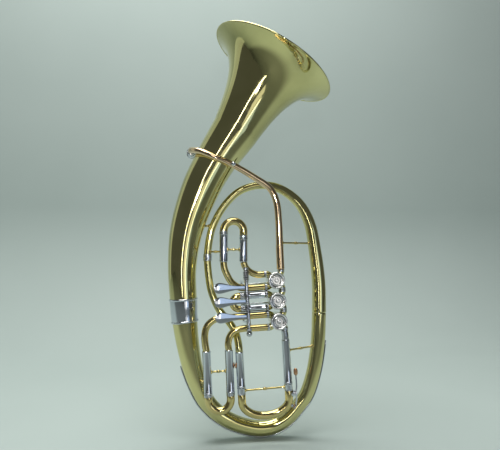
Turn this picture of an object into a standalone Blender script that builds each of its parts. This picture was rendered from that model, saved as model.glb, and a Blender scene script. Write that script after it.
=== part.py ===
"""Alto horn with an oval body, an upright bell and three rotary valves.

Metres, +Z up. The horn stands as it is played, its valve side to the front (-Y).
The origin is the lowest point of the bottom bow. Driving dimensions are in millimetres.
"""
import math

import bmesh
import bpy
import numpy as np
from mathutils import Matrix, Vector

MM = 0.001
GAP = 0.3            # clearance between pieces that touch on the real horn
TUBE_SIDES = 10
BOW_SIDES = 12
BELL_SIDES = 24
BORE_SIDES = 6       # of passages that nothing shows
ROUND_STEPS = 16
TOLERANCE = 0.95     # of a curved tube's centre line
BOW_TOLERANCE = 1.15 # of the bell's and the bows'
SOLDER_WALL = 0.6    # sheet of the drawn tubes

# Bell: the stem's centre line in the plane Y = 0, as (x, z, outer radius)
BELL_STEM = [
    (-120.4, 197.8, 19.9),
    (-123.9, 262.0, 21.4),
    (-117.0, 320.0, 24.8),
    (-96.0, 384.0, 29.2),
    (-74.0, 427.5, 31.6),
]
RIM_ACROSS = 19.0            # X and Z of the rim's centre
RIM_HEIGHT = 589.5
BELL_TILT = math.radians(28.5)
BELL_RIM_RADIUS = 102.5
BELL_FLARE = 19.0            # distance scale of the flare, measured back from the rim
BELL_FLARE_LENGTH = 125.0    # straight part of the axis below the rim
BELL_FLARE_STEPS = 7
BELL_WALL = 0.7
RIM_BEAD = 1.6

# Bottom bow, from the bell side to the small side: (x, z, outer radius), plane Y = 0
LOWER_BOW = [
    (-120.3, 196.0, 19.6),
    (-118.4, 178.0, 19.2),
    (-114.0, 146.0, 17.6),
    (-106.0, 108.0, 15.6),
    (-97.0, 82.0, 14.2),
    (-84.5, 57.5, 13.0),
    (-62.0, 35.5, 12.3),
    (-36.0, 22.0, 11.9),
    (-4.0, 14.4, 11.7),
    (18.0, 16.5, 11.4),
    (38.5, 27.0, 11.2),
    (57.0, 45.8, 11.0),
    (70.6, 64.0, 11.0),
    (82.5, 99.0, 11.1),
    (90.0, 146.0, 11.2),
    (92.2, 190.0, 11.2),
]
# Upper bow, from the join above the bottom bow round to the left leg
UPPER_BOW = [
    (92.3, 190.8, 11.2),
    (91.9, 238.4, 10.8),
    (86.8, 286.0, 10.1),
    (77.3, 334.0, 9.1),
    (60.0, 365.0, 8.1),
    (31.0, 386.5, 7.1),
    (1.0, 392.4, 6.3),
    (-32.0, 383.5, 6.0),
    (-57.5, 360.0, 5.9),
    (-77.0, 324.0, 5.9),
    (-83.8, 290.0, 5.9),
    (-84.4, 277.5, 5.9),
]
BOW_WALL = 0.7
FERRULE_WALL = 0.8
BELL_FERRULE = (178.0, 214.5)       # lowest and highest Z of the bell ferrule
FERRULE_RING = 1.2
BRANCH_FERRULE_LENGTH = 10.0

# First branch: down from the oval and forward into the main slide, (x, y, z, outer radius)
FIRST_BRANCH = [
    (-84.4, 0.0, 276.3, 5.8),
    (-84.3, 0.0, 270.0, 5.8),
    (-82.5, 0.0, 250.0, 5.8),
    (-77.8, -1.0, 224.0, 5.8),
    (-66.0, -4.5, 197.0, 5.8),
    (-51.0, -8.6, 178.5, 5.8),
    (-41.8, -12.8, 164.0, 5.8),
    (-38.2, -20.0, 151.0, 5.8),
    (-37.0, -23.4, 142.5, 5.8),
]

# Guard wire on the outer side of the bottom bow
GUARD_WIRE_RADIUS = 1.3
GUARD_WIRE_LEFT_Z = 116.0           # heights at which the wire ends, on the bell's side and on the other
GUARD_WIRE_RIGHT_Z = 150.0

# Leadpipe above the first valve, (x, y, z, outer radius), and the mouthpiece receiver at its end
LEADPIPE_START_RADIUS = 5.6
LEADPIPE = [
    (25.7, -24.0, 289.0, 5.6),
    (24.4, -24.0, 330.0, 5.4),
    (20.6, -24.0, 364.0, 5.3),
    (11.0, -24.6, 383.6, 5.2),
    (-13.0, -28.4, 399.6, 5.0),
    (-44.2, -34.4, 416.2, 4.6),
    (-64.0, -37.4, 424.8, 4.3),
    (-75.0, -38.2, 428.4, 4.2),
    (-85.5, -36.6, 433.0, 4.2),
    (-95.6, -31.0, 438.0, 4.4),
    (-104.8, -20.8, 441.8, 4.8),
    (-110.0, -8.6, 444.2, 5.2),
    (-110.8, 0.0, 445.2, 5.3),
]
LYRE_FOOT = (-47.2, -38.6, 417.7)     # on the leadpipe's front
LYRE_BALL = 3.5
LYRE_NECK = 5.4                     # ball's centre in front of the foot
RECEIVER_LENGTH = 27.0
RECEIVER_RADIUS = 7.3
RECEIVER_MOUTH = 5.9                # radius of the tapered socket at its mouth
RECEIVER_THROAT = 5.3

# Valves: a column that leans to the left at its top
SLIDE_PLANE = -24.0                 # Y of all valve and slide tubes
VALVE_TWO = (19.5, 212.9)           # X and Z of the middle valve
VALVE_LEAN = math.radians(3.5)
VALVE_PITCH = 30.5
CASING_RADIUS = 11.6
CASING_FRONT = -41.0
CASING_BACK = -9.0
CASING_FLOOR = 2.3
BORE_RADIUS = 10.2
ROTOR_RADIUS = 9.9
ROTOR_FRONT = -36.6
PASSAGE_RADIUS = 3.9
SPINDLE_RADIUS = 2.2
PLATE_THICKNESS = 3.6
PORT_RADIUS = 5.2
LINE_OFFSET = 10.3                  # main line, right of the valve centres
PORT_OFFSET = 9.6                   # slide tubes, above and below the valve centres
KNUCKLE_REACH = 15.6
CAP_RADIUS = 12.6
CAP_FRONT = -46.2
CAP_BACK = -38.2

# Slides. Sleeves are fixed, legs run inside them
SLEEVE_RADIUS = 6.3
SLEEVE_WALL = 0.5
LEG_RADIUS = 5.35
LEG_WALL = 0.5
CROOK_RADIUS = 6.0
BEND_RADIUS = 5.2
SLEEVE_RING = 0.5

FIRST_LEFT_X = -60.4
FIRST_RIGHT_X = -30.2
FIRST_SLEEVE_BOTTOM = 270.5
FIRST_SLEEVE_TOP_LEFT = 314.5
FIRST_SLEEVE_TOP_RIGHT = 307.0
FIRST_LEG_DEPTH = 33.0
FIRST_UPPER_BEND = [(-8.5, 251.5), (-19.4, 255.2), (-27.0, 262.4)]     # (x, z) from the valve to the sleeve
FIRST_LOWER_BEND = [(-24.0, 231.2), (-38.0, 232.8), (-48.4, 240.2), (-55.6, 252.0), (-59.6, 262.5)]
FIRST_STAY_Z = 289.5
BRANCH_STAY_Z = 286.4               # stay from the oval to this slide

SECOND_SLEEVE_RADIUS = 5.5
SECOND_LEG_RADIUS = 4.45
SECOND_CROOK_RADIUS = 5.2
SECOND_SLEEVE_LENGTH = 34.0
SECOND_LEG_DEPTH = 26.0

THIRD_LEAN = math.radians(2.7)
THIRD_CROOK_CENTRE = (-65.6, 66.0)
THIRD_SPREAD = 33.4
THIRD_SLEEVE_BOTTOM = 9.0           # above the crook's centre
THIRD_SLEEVE_TOP = 73.0
THIRD_LEG_DEPTH = 46.0
THIRD_UPPER_BEND = [(-24.0, 189.2), (-49.0, 187.4), (-64.0, 186.8), (-76.8, 182.6), (-85.2, 173.8),
                    (-88.2, 162.0), (-87.5, 148.0)]
THIRD_LOWER_BEND = [(-14.0, 170.9), (-32.0, 170.2), (-44.5, 166.4), (-51.2, 158.0), (-53.2, 147.5)]
THIRD_STAY = 41.5

MAIN_LEAN = math.radians(3.4)
MAIN_LEFT_LEG = (-32.136, 61.283)      # X and Z of the left leg, level with the crook's centre
MAIN_SPREAD = 71.4
MAIN_CROOK_DROP = 22.6
MAIN_SLEEVE_BOTTOM = 22.0
MAIN_SLEEVE_TOP_LEFT = 75.0
MAIN_FERRULE = 10.0
MAIN_LEG_DEPTH = 46.0
MAIN_STAY = 17.0
PAIR_STAY_UP = 54.0                 # disc stay to the third slide: above the main crook's centre
PAIR_STAY_THIRD_UP = 50.0           # and above the third crook's

# Lever work, in the valve column's own frame: u to the right, v up the column
AXLE_U = -44.7
AXLE_Y = -36.0
AXLE_RADIUS = 2.3
AXLE_TOP = 52.5
AXLE_BOTTOM = -47.0
AXLE_BALL = 4.4
HUB_RADIUS = 3.6
HUB_BORE = 2.6
PADDLE_V = {1: 22.4, 2: 1.6, 3: -21.0}
PADDLE_LENGTH = 50.5
PADDLE_WIDTH = 15.6
PADDLE_NECK = 5.6
PADDLE_THICK = 1.8
PADDLE_RISE = math.radians(12.0)    # towards the player's fingers
PADDLE_LIFT = math.radians(3.0)     # paddles lie level although the axle leans
HUB_BESIDE_PADDLE = 4.2             # how far the hub runs on past the paddle's middle
HUB_BESIDE_ARM = 2.6                # and past the rear arm's
ARM_ROOT = 3.2                      # radii of the rear arm's two ends
ARM_TIP = 2.3
ARM_THICK = 3.0
LINK_Y = -4.0
STOP_RADIUS = 7.0
ROTOR_TURN = math.radians(90.0)
LINK_THICK = 2.0
PIN_RADIUS = 1.2
STOP_FRONT = -7.3
STOP_BACK = -5.3
LINK_SIDE = {1: -1, 2: -1, 3: 1}    # the stop arm points down on valves 1 and 2, up on 3
SPRING_WIRE = 0.5
SPRING_RADIUS = 3.3
SPRING_STEP = 3.0
CURL_POINTS = 8

# Water key on the main slide's crook, in that slide's frame
KEY_HINGE = (10.5, 6.5)             # right of the right leg's centre, above the crook's centre
KEY_TOUCH = (12.6, 38.0)
KEY_NIPPLE_ANGLE = math.radians(20.0)
KEY_NIPPLE_HEIGHT = 3.2
KEY_CORK_RADIUS = 3.2
SADDLE_HALF = 0.7                   # half thickness of the saddle's base
SADDLE_SINK = 0.5                   # how far the base reaches round the ferrule

STAY_RADIUS = 1.5
STAY_FOOT = 3.2
BELL_STAY_Z = 326.6
UPPER_BOW_STAY_Z = 300.0
THIRD_BOW_STAY_Z = 89.6
SLIDE_BOW_STAY_Z = 139.0
LEADPIPE_STAY_ON_BELL = (-72.4, 0.0, 431.0, 31.8)       # (x, y, z, radius) of what each end stands on
LEADPIPE_STAY_ON_PIPE = (-54.0, -36.0, 420.6, 4.5)

BRASS = ("lacquered_brass", (0.74, 0.58, 0.27), 0.22)
NICKEL = ("nickel_silver", (0.66, 0.66, 0.64), 0.20)
STEEL = ("spring_steel", (0.32, 0.32, 0.33), 0.35)
CORK = ("key_cork", (0.42, 0.25, 0.13), 0.9)


def clear_scene():
    for obj in list(bpy.data.objects):
        bpy.data.objects.remove(obj, do_unlink=True)


def new_collection(name):
    collection = bpy.data.collections.new(name)
    bpy.context.scene.collection.children.link(collection)
    return collection


def finish_of(name, finish):
    """A material of its own for one piece."""
    kind, colour, roughness = finish
    material = bpy.data.materials.new(name + "_" + kind)
    material.use_nodes = True
    shader = material.node_tree.nodes["Principled BSDF"]
    shader.inputs["Base Color"].default_value = (*colour, 1.0)
    shader.inputs["Roughness"].default_value = roughness
    shader.inputs["Metallic"].default_value = 0.0 if kind == "key_cork" else 1.0
    return material


def smooth_through(points, tolerance=TOLERANCE):
    """A centripetal Catmull-Rom curve through the points; radius blends like a coordinate.

    It keeps only the stations that its shape needs, within a tolerance in mm.
    """
    known = np.array(points, float)
    first = 2 * known[0] - known[1]
    last = 2 * known[-1] - known[-2]
    known = np.vstack([first, known, last])
    made = []
    for i in range(1, len(known) - 2):
        four = known[i - 1:i + 3]
        steps = np.sqrt(np.linalg.norm(np.diff(four[:, :3], axis=0), axis=1))
        t = np.concatenate([[0.0], np.cumsum(steps)])
        for s in np.linspace(t[1], t[2], 8, endpoint=False):
            made.append(blend(four, t, s))
    made.append(known[-2])
    return thinned(made, tolerance)


def thinned(stations, tolerance):
    """Leaves out stations that a straight run between their neighbours passes within the tolerance."""
    first, last = stations[0], stations[-1]
    run = last - first
    away = []
    for station in stations[1:-1]:
        share = np.dot(station - first, run) / np.dot(run, run)
        away.append(float(np.linalg.norm(station - first - run * share)))
    if not away or max(away) < tolerance:
        return [first, last]
    split = 1 + away.index(max(away))
    return thinned(stations[:split + 1], tolerance)[:-1] + thinned(stations[split:], tolerance)


def blend(four, t, s):
    a = [lerp(four[k], four[k + 1], (s - t[k]) / (t[k + 1] - t[k])) for k in range(3)]
    b = [lerp(a[k], a[k + 1], (s - t[k]) / (t[k + 2] - t[k])) for k in range(2)]
    return lerp(b[0], b[1], (s - t[1]) / (t[2] - t[1]))


def at_height(stations, z, from_end=False):
    """Place of a tube where its centre line passes a height, with half its width measured level."""
    route = stations[::-1] if from_end else stations
    for a, b in zip(route, route[1:]):
        if min(a[2], b[2]) <= z <= max(a[2], b[2]) and a[2] != b[2]:
            share = (z - a[2]) / (b[2] - a[2])
            x, y, z, radius = (lerp(a[k], b[k], share) for k in range(4))
            slope = math.atan2(abs(b[0] - a[0]), abs(b[2] - a[2]))
            return (x, y, z, radius / math.cos(slope))
    return None


def grown(stations, more):
    """The same route with a larger radius, run on a little at both ends."""
    wider = [(x, y, z, radius + more) for x, y, z, radius in stations]
    for end, inner in ((0, 1), (-1, -2)):
        away = Vector(wider[end][:3]) - Vector(wider[inner][:3])
        place = Vector(wider[end][:3]) + away.normalized() * 2.0
        wider.insert(0 if end == 0 else len(wider), (*place, wider[end][3]))
    return wider


def lerp(a, b, share):
    return a + (b - a) * share


def flat_route(points, y=0.0):
    """(x, z, radius) to (x, y, z, radius)."""
    return [(x, y, z, r) for x, z, r in points]


def link_object(obj, name, finish):
    HORN.objects.link(obj)
    if finish:
        obj.data.materials.clear()
        obj.data.materials.append(finish_of(name, finish))
    return obj


def pipe(name, stations, finish, wall=None, sides=TUBE_SIDES):
    """A tube through (x, y, z, outer radius) in mm: open with a wall, or solid without one."""
    curve = bpy.data.curves.new(name, "CURVE")
    curve.dimensions = "3D"
    curve.twist_mode = "MINIMUM"
    curve.bevel_depth = MM
    curve.bevel_resolution = (sides - 4) // 2
    curve.use_fill_caps = wall is None
    run = curve.splines.new("POLY")
    run.points.add(len(stations) - 1)
    for point, (x, y, z, radius) in zip(run.points, stations):
        point.co = (x * MM, y * MM, z * MM, 1.0)
        point.radius = radius
    run.use_smooth = True
    obj = bpy.data.objects.new(name, curve)
    link_object(obj, name, finish)
    if wall is not None:
        shell = obj.modifiers.new("wall", "SOLIDIFY")
        shell.thickness = wall * MM
        shell.offset = -1.0
    return obj


def as_mesh(obj, name=None):
    """The evaluated shape as a plain mesh object, its loose caps welded."""
    graph = bpy.context.evaluated_depsgraph_get()
    mesh = bpy.data.meshes.new_from_object(obj.evaluated_get(graph))
    made = bpy.data.objects.new(name or obj.name, mesh)
    made.matrix_world = obj.matrix_world.copy()
    title = obj.name
    for collection in list(obj.users_collection):
        collection.objects.link(made)
    bpy.data.objects.remove(obj, do_unlink=True)
    made.name = name or title
    weld(mesh)
    return made


def placed(obj, frame):
    """Fixes a piece's shape as it is, then moves it to its frame."""
    made = as_mesh(obj)
    made.matrix_world = frame
    return made


def settle(obj):
    """Puts an object's place into its mesh."""
    obj.data.transform(obj.matrix_world)
    obj.matrix_world = Matrix.Identity(4)


def weld(mesh):
    work = bmesh.new()
    work.from_mesh(mesh)
    bmesh.ops.remove_doubles(work, verts=work.verts, dist=1e-6)
    work.to_mesh(mesh)
    work.free()


def turned(name, profile, finish, frame=Matrix.Identity(4), steps=ROUND_STEPS):
    """A profile of (radius, height) in mm turned about its height; heights run towards the front.

    The profile runs down the outer side, from the top to the bottom, and back up any bore.
    """
    mesh = bpy.data.meshes.new(name)
    points = [(r * MM, 0.0, h * MM) for r, h in profile]
    edges = [(i, i + 1) for i in range(len(points) - 1)]
    if profile[0][0] > 0 or profile[-1][0] > 0:
        edges.append((len(points) - 1, 0))
    mesh.from_pydata(points, edges, [])
    obj = bpy.data.objects.new(name, mesh)
    link_object(obj, name, finish)
    screw = obj.modifiers.new("turn", "SCREW")
    screw.steps = steps
    screw.render_steps = steps
    screw.use_merge_vertices = True
    screw.merge_threshold = 1e-6
    screw.use_smooth_shade = True
    obj.matrix_world = frame
    return obj


def plate(name, outline, half, finish, frame=Matrix.Identity(4)):
    """A flat piece: an outline in mm in its own XY plane, with half its thickness each way."""
    curve = bpy.data.curves.new(name, "CURVE")
    curve.dimensions = "2D"
    curve.fill_mode = "BOTH"
    curve.extrude = half * MM
    run = curve.splines.new("POLY")
    run.points.add(len(outline) - 1)
    for point, (x, y) in zip(run.points, outline):
        point.co = (x * MM, y * MM, 0.0, 1.0)
    run.use_cyclic_u = True
    obj = bpy.data.objects.new(name, curve)
    link_object(obj, name, finish)
    obj.matrix_world = frame
    return obj


def arc(centre, radius, start, end, count):
    """Points on an arc, angles in degrees."""
    made = []
    for i in range(count):
        angle = math.radians(start + (end - start) * i / (count - 1))
        made.append((centre[0] + radius * math.cos(angle), centre[1] + radius * math.sin(angle)))
    return made


def egg_outline(length, radius_near, radius_far, count=7):
    """Outline round two circles on the X axis, a length apart."""
    turn = math.degrees(math.asin((radius_near - radius_far) / length))
    far = arc((length, 0.0), radius_far, -90 + turn, 90 - turn, count)
    near = arc((0.0, 0.0), radius_near, 90 - turn, 270 + turn, count)
    return far + near


def boolean(obj, tool, operation):
    """Joins or cuts with another piece, which becomes a helper."""
    for collection in list(tool.users_collection):
        collection.objects.unlink(tool)
    CUTTERS.objects.link(tool)
    tool.hide_render = True
    tool.display_type = "WIRE"
    step = obj.modifiers.new(operation.lower(), "BOOLEAN")
    step.operation = operation
    step.solver = "EXACT"
    step.object = tool
    return obj


def join(obj, *tools):
    for tool in tools:
        boolean(obj, tool, "UNION")
    return obj


def cut(obj, *tools):
    for tool in tools:
        boolean(obj, tool, "DIFFERENCE")
    return obj


def solid_pipe(name, stations, sides=TUBE_SIDES):
    return as_mesh(pipe(name, stations, None, sides=sides))


def bored_pipe(name, stations, wall, finish, additions, holes=(), sides=TUBE_SIDES):
    """A tube with other shapes fused to its outside, its bore cut last so that it stays clear."""
    outer = solid_pipe(name, stations, sides)
    outer.data.materials.append(finish_of(name, finish))
    join(outer, *additions)
    cut(outer, *holes)
    return cut(outer, solid_pipe(name + "_bore", grown(stations, -wall), sides))


def rod(name, start, end, radius, sides=TUBE_SIDES):
    """A plain round bar between two points, as a mesh."""
    return solid_pipe(name, [(*start, radius), (*end, radius)], sides)


def carried_by(obj, pivot, name):
    """Parents a moving piece to an empty that stands on its joint's axis."""
    bpy.context.view_layer.update()
    empty = bpy.data.objects.get(name)
    if empty is None:
        empty = bpy.data.objects.new(name, None)
        HORN.objects.link(empty)
        empty.matrix_world = Matrix.Translation(Vector(pivot) * MM)
        bpy.context.view_layer.update()
    world = obj.matrix_world.copy()
    obj.parent = empty
    obj.matrix_parent_inverse = empty.matrix_world.inverted()
    obj.matrix_basis = world
    return obj


# Frames

def column_frame(u=0.0, y=0.0, v=0.0):
    """The valve column's frame at (u, y, v) in mm, middle valve at its origin."""
    x0, z0 = VALVE_TWO
    turn = Matrix.Rotation(-VALVE_LEAN, 4, "Y")
    return Matrix.Translation(Vector((x0, 0.0, z0)) * MM) @ turn @ Matrix.Translation(Vector((u, y, v)) * MM)


def in_column(u, y, v):
    """World place in mm of a point given in the column's frame."""
    place = column_frame(u, y, v).translation / MM
    return (place.x, place.y, place.z)


def valve_v(number):
    return (2 - number) * VALVE_PITCH


TO_FRONT = Matrix.Rotation(math.radians(90.0), 4, "X")   # turns +Z to the front, -Y


def slide_point(centre, lean, across, up):
    """A point of a slide, across and above its crook's centre; the top leans to the left."""
    x = centre[0] + across * math.cos(lean) - up * math.sin(lean)
    z = centre[1] + across * math.sin(lean) + up * math.cos(lean)
    return (x, SLIDE_PLANE, z)


def main_point(across, up):
    """A point of the main slide: its spread is measured from the left leg, which keeps its place."""
    return slide_point(MAIN_LEFT_LEG, MAIN_LEAN, across + MAIN_SPREAD / 2, up)


def third_point(across, up):
    return slide_point(THIRD_CROOK_CENTRE, THIRD_LEAN, across, up)


# Sounding body

def bell_stations():
    """Centre line and outer radius of the bell, stem first, flare by one formula."""
    axis = np.array([math.sin(BELL_TILT), math.cos(BELL_TILT)])
    rim = np.array([RIM_ACROSS, RIM_HEIGHT])
    start = rim - axis * BELL_FLARE_LENGTH
    stem = BELL_STEM + [(start[0], start[1], flare_radius(BELL_FLARE_LENGTH))]
    stations = smooth_through(flat_route(stem), BOW_TOLERANCE)[:-1]
    for share in np.linspace(0.0, 1.0, BELL_FLARE_STEPS):
        back = BELL_FLARE_LENGTH * (1.0 - share) ** 1.7
        x, z = rim - axis * back
        stations.append((x, 0.0, z, flare_radius(back)))
    return stations


def flare_radius(back):
    return BELL_RIM_RADIUS * math.sqrt(BELL_FLARE / (BELL_FLARE + back))


def make_bell():
    bell = as_mesh(pipe("bell", bell_stations(), BRASS, wall=BELL_WALL, sides=BELL_SIDES))
    ring = pipe("bell_bead", rim_circle(BELL_SIDES), None, sides=6)
    ring.data.splines[0].use_cyclic_u = True
    join(bell, as_mesh(ring))


def lower_bow_stations():
    return smooth_through(flat_route(LOWER_BOW), BOW_TOLERANCE)


def upper_bow_stations():
    return smooth_through(flat_route(UPPER_BOW), BOW_TOLERANCE)


def branch_stations():
    """Down from the oval and forward into line with the main slide's left sleeve."""
    radius = FIRST_BRANCH[-1][3]
    top = MAIN_SLEEVE_TOP_LEFT + GAP
    ends = [(*main_point(-MAIN_SPREAD / 2, top + up), radius) for up in (3.0, 0.0)]
    return smooth_through(FIRST_BRANCH) + ends


def rim_circle(count=32):
    axis = Vector((math.sin(BELL_TILT), 0.0, math.cos(BELL_TILT)))
    side = Vector((0.0, 1.0, 0.0)).cross(axis)
    centre = Vector((RIM_ACROSS, 0.0, RIM_HEIGHT))
    made = []
    for i in range(count):
        angle = math.tau * i / count
        reach = side * math.cos(angle) + Vector((0.0, 1.0, 0.0)) * math.sin(angle)
        place = centre + reach * (BELL_RIM_RADIUS - 0.4 * RIM_BEAD)
        made.append((*place, RIM_BEAD))
    return made


def make_bows():
    pipe("lower_bow", lower_bow_stations(), BRASS, wall=BOW_WALL, sides=BOW_SIDES)
    pipe("upper_bow", upper_bow_stations(), BRASS, wall=BOW_WALL, sides=BOW_SIDES)
    pipe("first_branch", branch_stations(), BRASS, wall=SOLDER_WALL)


def sleeve_on(name, heights, tubes, ring, sides):
    """A ferrule over the joint of two tubes, lower tube first, with a raised ring at each end.

    tubes are (stations, sides, from_end), the last saying from which end heights are sought.
    """
    low, high = heights
    middle = (low + high) / 2
    stations = []
    for z, proud in ((low, ring), (low + 1.8, ring), (low + 2.4, 0.0), (high - 2.4, 0.0), (high - 1.8, ring),
                     (high, ring)):
        route, _, from_end = tubes[0] if z < middle else tubes[1]
        x, y, z, _ = at_height(route, z, from_end)
        radius = max(at_height(r, t, e)[3] for (r, _, e), t in zip(tubes, (low, high)))
        stations.append((x, y, z, radius + GAP + FERRULE_WALL + proud))
    sleeve = solid_pipe(name, stations, sides)
    sleeve.data.materials.append(finish_of(name, NICKEL))
    for route, around, _ in tubes:
        cut(sleeve, solid_pipe(name + "_seat", grown(route, GAP), around))
    return sleeve


def make_ferrules():
    bow = lower_bow_stations()
    sleeve_on("bell_ferrule", BELL_FERRULE, [(bow, BOW_SIDES, False), (bell_stations(), BELL_SIDES, False)],
              FERRULE_RING, BELL_SIDES)
    middle = UPPER_BOW[-1][1]
    half = BRANCH_FERRULE_LENGTH / 2
    sleeve_on("branch_ferrule", (middle - half, middle + half),
              [(branch_stations(), TUBE_SIDES, False), (upper_bow_stations(), BOW_SIDES, True)], 0.4, 12)


def make_guard_wire():
    """Follows the outer side of the bottom bow at its skin."""
    bow = smooth_through(flat_route(LOWER_BOW), 0.5)
    lowest = min(range(len(bow)), key=lambda i: bow[i][2])
    route = [at_height(bow, GUARD_WIRE_LEFT_Z)]
    route += [bow[i] for i in range(lowest) if bow[i][2] < GUARD_WIRE_LEFT_Z - 4.0]
    route += [bow[i] for i in range(lowest, len(bow)) if bow[i][2] < GUARD_WIRE_RIGHT_Z - 4.0]
    route.append(at_height(bow, GUARD_WIRE_RIGHT_Z, True))
    stations = []
    for i, (x, _, z, radius) in enumerate(route):
        ahead = Vector(route[min(i + 1, len(route) - 1)][:3]) - Vector(route[max(i - 1, 0)][:3])
        outward = Vector((ahead.z, 0.0, -ahead.x)).normalized()
        place = Vector((x, 0.0, z)) + outward * (radius + GAP / 2 + GUARD_WIRE_RADIUS)
        stations.append((*place, GUARD_WIRE_RADIUS))
    pipe("guard_wire", stations, NICKEL, sides=6)


def leadpipe_stations():
    start = in_column(LINE_OFFSET, SLIDE_PLANE, valve_v(1) + VALVE_PITCH / 2 + 4.0)
    route = smooth_through([(*start, LEADPIPE_START_RADIUS)] + LEADPIPE)
    x, y, z, radius = LEADPIPE[-1]
    return [(*line_end(1, 1), LEADPIPE_START_RADIUS)] + route + [(x, y + 4.0, z, radius)]


def make_leadpipe():
    """Tapered pipe with the ball-headed screw's boss on its front, and the receiver at its end."""
    lead = as_mesh(pipe("leadpipe", leadpipe_stations(), BRASS, wall=SOLDER_WALL))
    join(lead, as_mesh(lyre_screw()))
    x, y, z, _ = LEADPIPE[-1]
    profile = [
        (RECEIVER_RADIUS, 0.0),
        (RECEIVER_RADIUS, -3.0),
        (RECEIVER_RADIUS - 0.8, -4.0),
        (RECEIVER_RADIUS - 1.0, 1.2 - RECEIVER_LENGTH),
        (RECEIVER_RADIUS - 1.6, -RECEIVER_LENGTH),
        (RECEIVER_THROAT - 0.9, -RECEIVER_LENGTH),
        (RECEIVER_MOUTH - 0.3, 0.0),
    ]
    mouth = Vector((x, y + 4.0 + GAP + RECEIVER_LENGTH, z)) * MM
    frame = Matrix.Translation(mouth) @ Matrix.Rotation(math.radians(-90.0), 4, "X")
    turned("mouthpiece_receiver", profile, NICKEL, frame, steps=16)


def lyre_screw():
    """Ball on a short neck; its foot ends inside the leadpipe's wall."""
    ball = [(r, LYRE_NECK + h) for r, h in arc((0.0, 0.0), LYRE_BALL, 90, -60, 10)]
    ball[0] = (0.0, ball[0][1])
    profile = ball + [(1.5, 1.8), (1.5, 0.0), (0.0, 0.0)]
    foot = Vector(LYRE_FOOT) * MM
    return turned("lyre_screw", profile, None, Matrix.Translation(foot) @ TO_FRONT, steps=12)


# Valves

def knuckle_route(right, up, bore=False):
    """From inside the casing at 45 degrees out to the main line (right) or to a slide tube (left)."""
    if right:
        end = (VALVE_PITCH - GAP) / 2
        points = [(5.2, 5.2), (LINE_OFFSET, 11.4), (LINE_OFFSET, end)]
        beyond = (LINE_OFFSET, end + 2.0)
    else:
        end = KNUCKLE_REACH
        points = [(-5.2, 5.2), (-11.0, PORT_OFFSET), (-end, PORT_OFFSET)]
        beyond = (-end - 2.0, PORT_OFFSET)
    radius = PORT_RADIUS
    if bore:
        points.append(beyond)
        radius -= SOLDER_WALL
    return [(u, SLIDE_PLANE, v * up, radius) for u, v in points]


def valve_casing(number):
    """Cylinder open at the front, with a bearing hole in its floor and four bent knuckles."""
    rear = -CASING_BACK
    body = as_mesh(turned("valve_casing_%d" % number, [
        (0.0, -CASING_FRONT),
        (CASING_RADIUS, -CASING_FRONT),
        (CASING_RADIUS, rear),
        (0.0, rear),
    ], BRASS, TO_FRONT))
    settle(body)
    bore = as_mesh(turned("casing_bore", [
        (0.0, 60.0),
        (BORE_RADIUS, 60.0),
        (BORE_RADIUS, rear + CASING_FLOOR),
        (SPINDLE_RADIUS + GAP, rear + CASING_FLOOR),
        (SPINDLE_RADIUS + GAP, -60.0),
        (0.0, -60.0),
    ], None, TO_FRONT))
    settle(bore)
    ends = [(right, up) for right in (True, False) for up in (1, -1)]
    join(body, *(solid_pipe("knuckle", knuckle_route(*end), 8) for end in ends))
    cut(body, bore)
    cut(body, *(solid_pipe("knuckle_bore", knuckle_route(*end, bore=True), BORE_SIDES) for end in ends))
    return placed(body, column_frame(0.0, 0.0, valve_v(number)))


def port_end(number, up):
    """Where a valve's slide port ends; up is 1 for the upper port, -1 for the lower."""
    return in_column(-KNUCKLE_REACH - GAP, SLIDE_PLANE, valve_v(number) + up * PORT_OFFSET)


def line_end(number, up):
    """Where the next main-line tube meets a valve's knuckle."""
    return in_column(LINE_OFFSET, SLIDE_PLANE, valve_v(number) + up * (VALVE_PITCH + GAP) / 2)


def make_casings():
    first = valve_casing(1)
    for number in (2, 3):
        copy = bpy.data.objects.new("valve_casing_%d" % number, first.data.copy())
        link_object(copy, copy.name, BRASS)
        copy.matrix_world = column_frame(0.0, 0.0, valve_v(number))


def make_bearing_plate(number):
    front = -ROTOR_FRONT + GAP + PLATE_THICKNESS
    back = -ROTOR_FRONT + GAP
    hole = SPINDLE_RADIUS + GAP
    profile = [(hole, front), (ROTOR_RADIUS, front), (ROTOR_RADIUS, back), (hole, back)]
    frame = column_frame(0.0, 0.0, valve_v(number)) @ TO_FRONT
    turned("bearing_plate_%d" % number, profile, BRASS, frame, 12)


def make_cap(number):
    """Screwed cap: a raised rim, a sunk ring and a low boss, hollow behind for the casing's end."""
    face = -CAP_FRONT
    inside = CASING_RADIUS + 1.5 * GAP
    floor = -CASING_FRONT + GAP
    profile = [(0.0, face - 0.9), (2.4, face - 0.9), (3.2, face - 1.7), (6.6, face - 1.7), (7.6, face - 0.5),
               (10.8, face), (CAP_RADIUS, face - 1.4), (CAP_RADIUS, -CAP_BACK), (inside, -CAP_BACK),
               (inside, floor), (0.0, floor)]
    frame = column_frame(0.0, 0.0, valve_v(number)) @ TO_FRONT
    turned("valve_cap_%d" % number, profile, NICKEL, frame, 16)


def make_rotor(number):
    """A plug with two curved passages, each joining two neighbouring knuckles at rest."""
    name = "rotor_%d" % number
    front = -ROTOR_FRONT
    back = -CASING_BACK + CASING_FLOOR + GAP
    spindle = SPINDLE_RADIUS
    tip = front + PLATE_THICKNESS - 0.8
    profile = [(0.0, tip), (spindle, tip), (spindle, front), (ROTOR_RADIUS, front), (ROTOR_RADIUS, back),
               (spindle, back), (spindle, -STOP_BACK), (0.0, -STOP_BACK)]
    body = as_mesh(turned(name, profile, BRASS, TO_FRONT, 12))
    settle(body)
    for side in (1, -1):
        cut(body, solid_pipe("passage", passage_route(side), BORE_SIDES))
    return placed(body, column_frame(0.0, 0.0, valve_v(number)))


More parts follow.
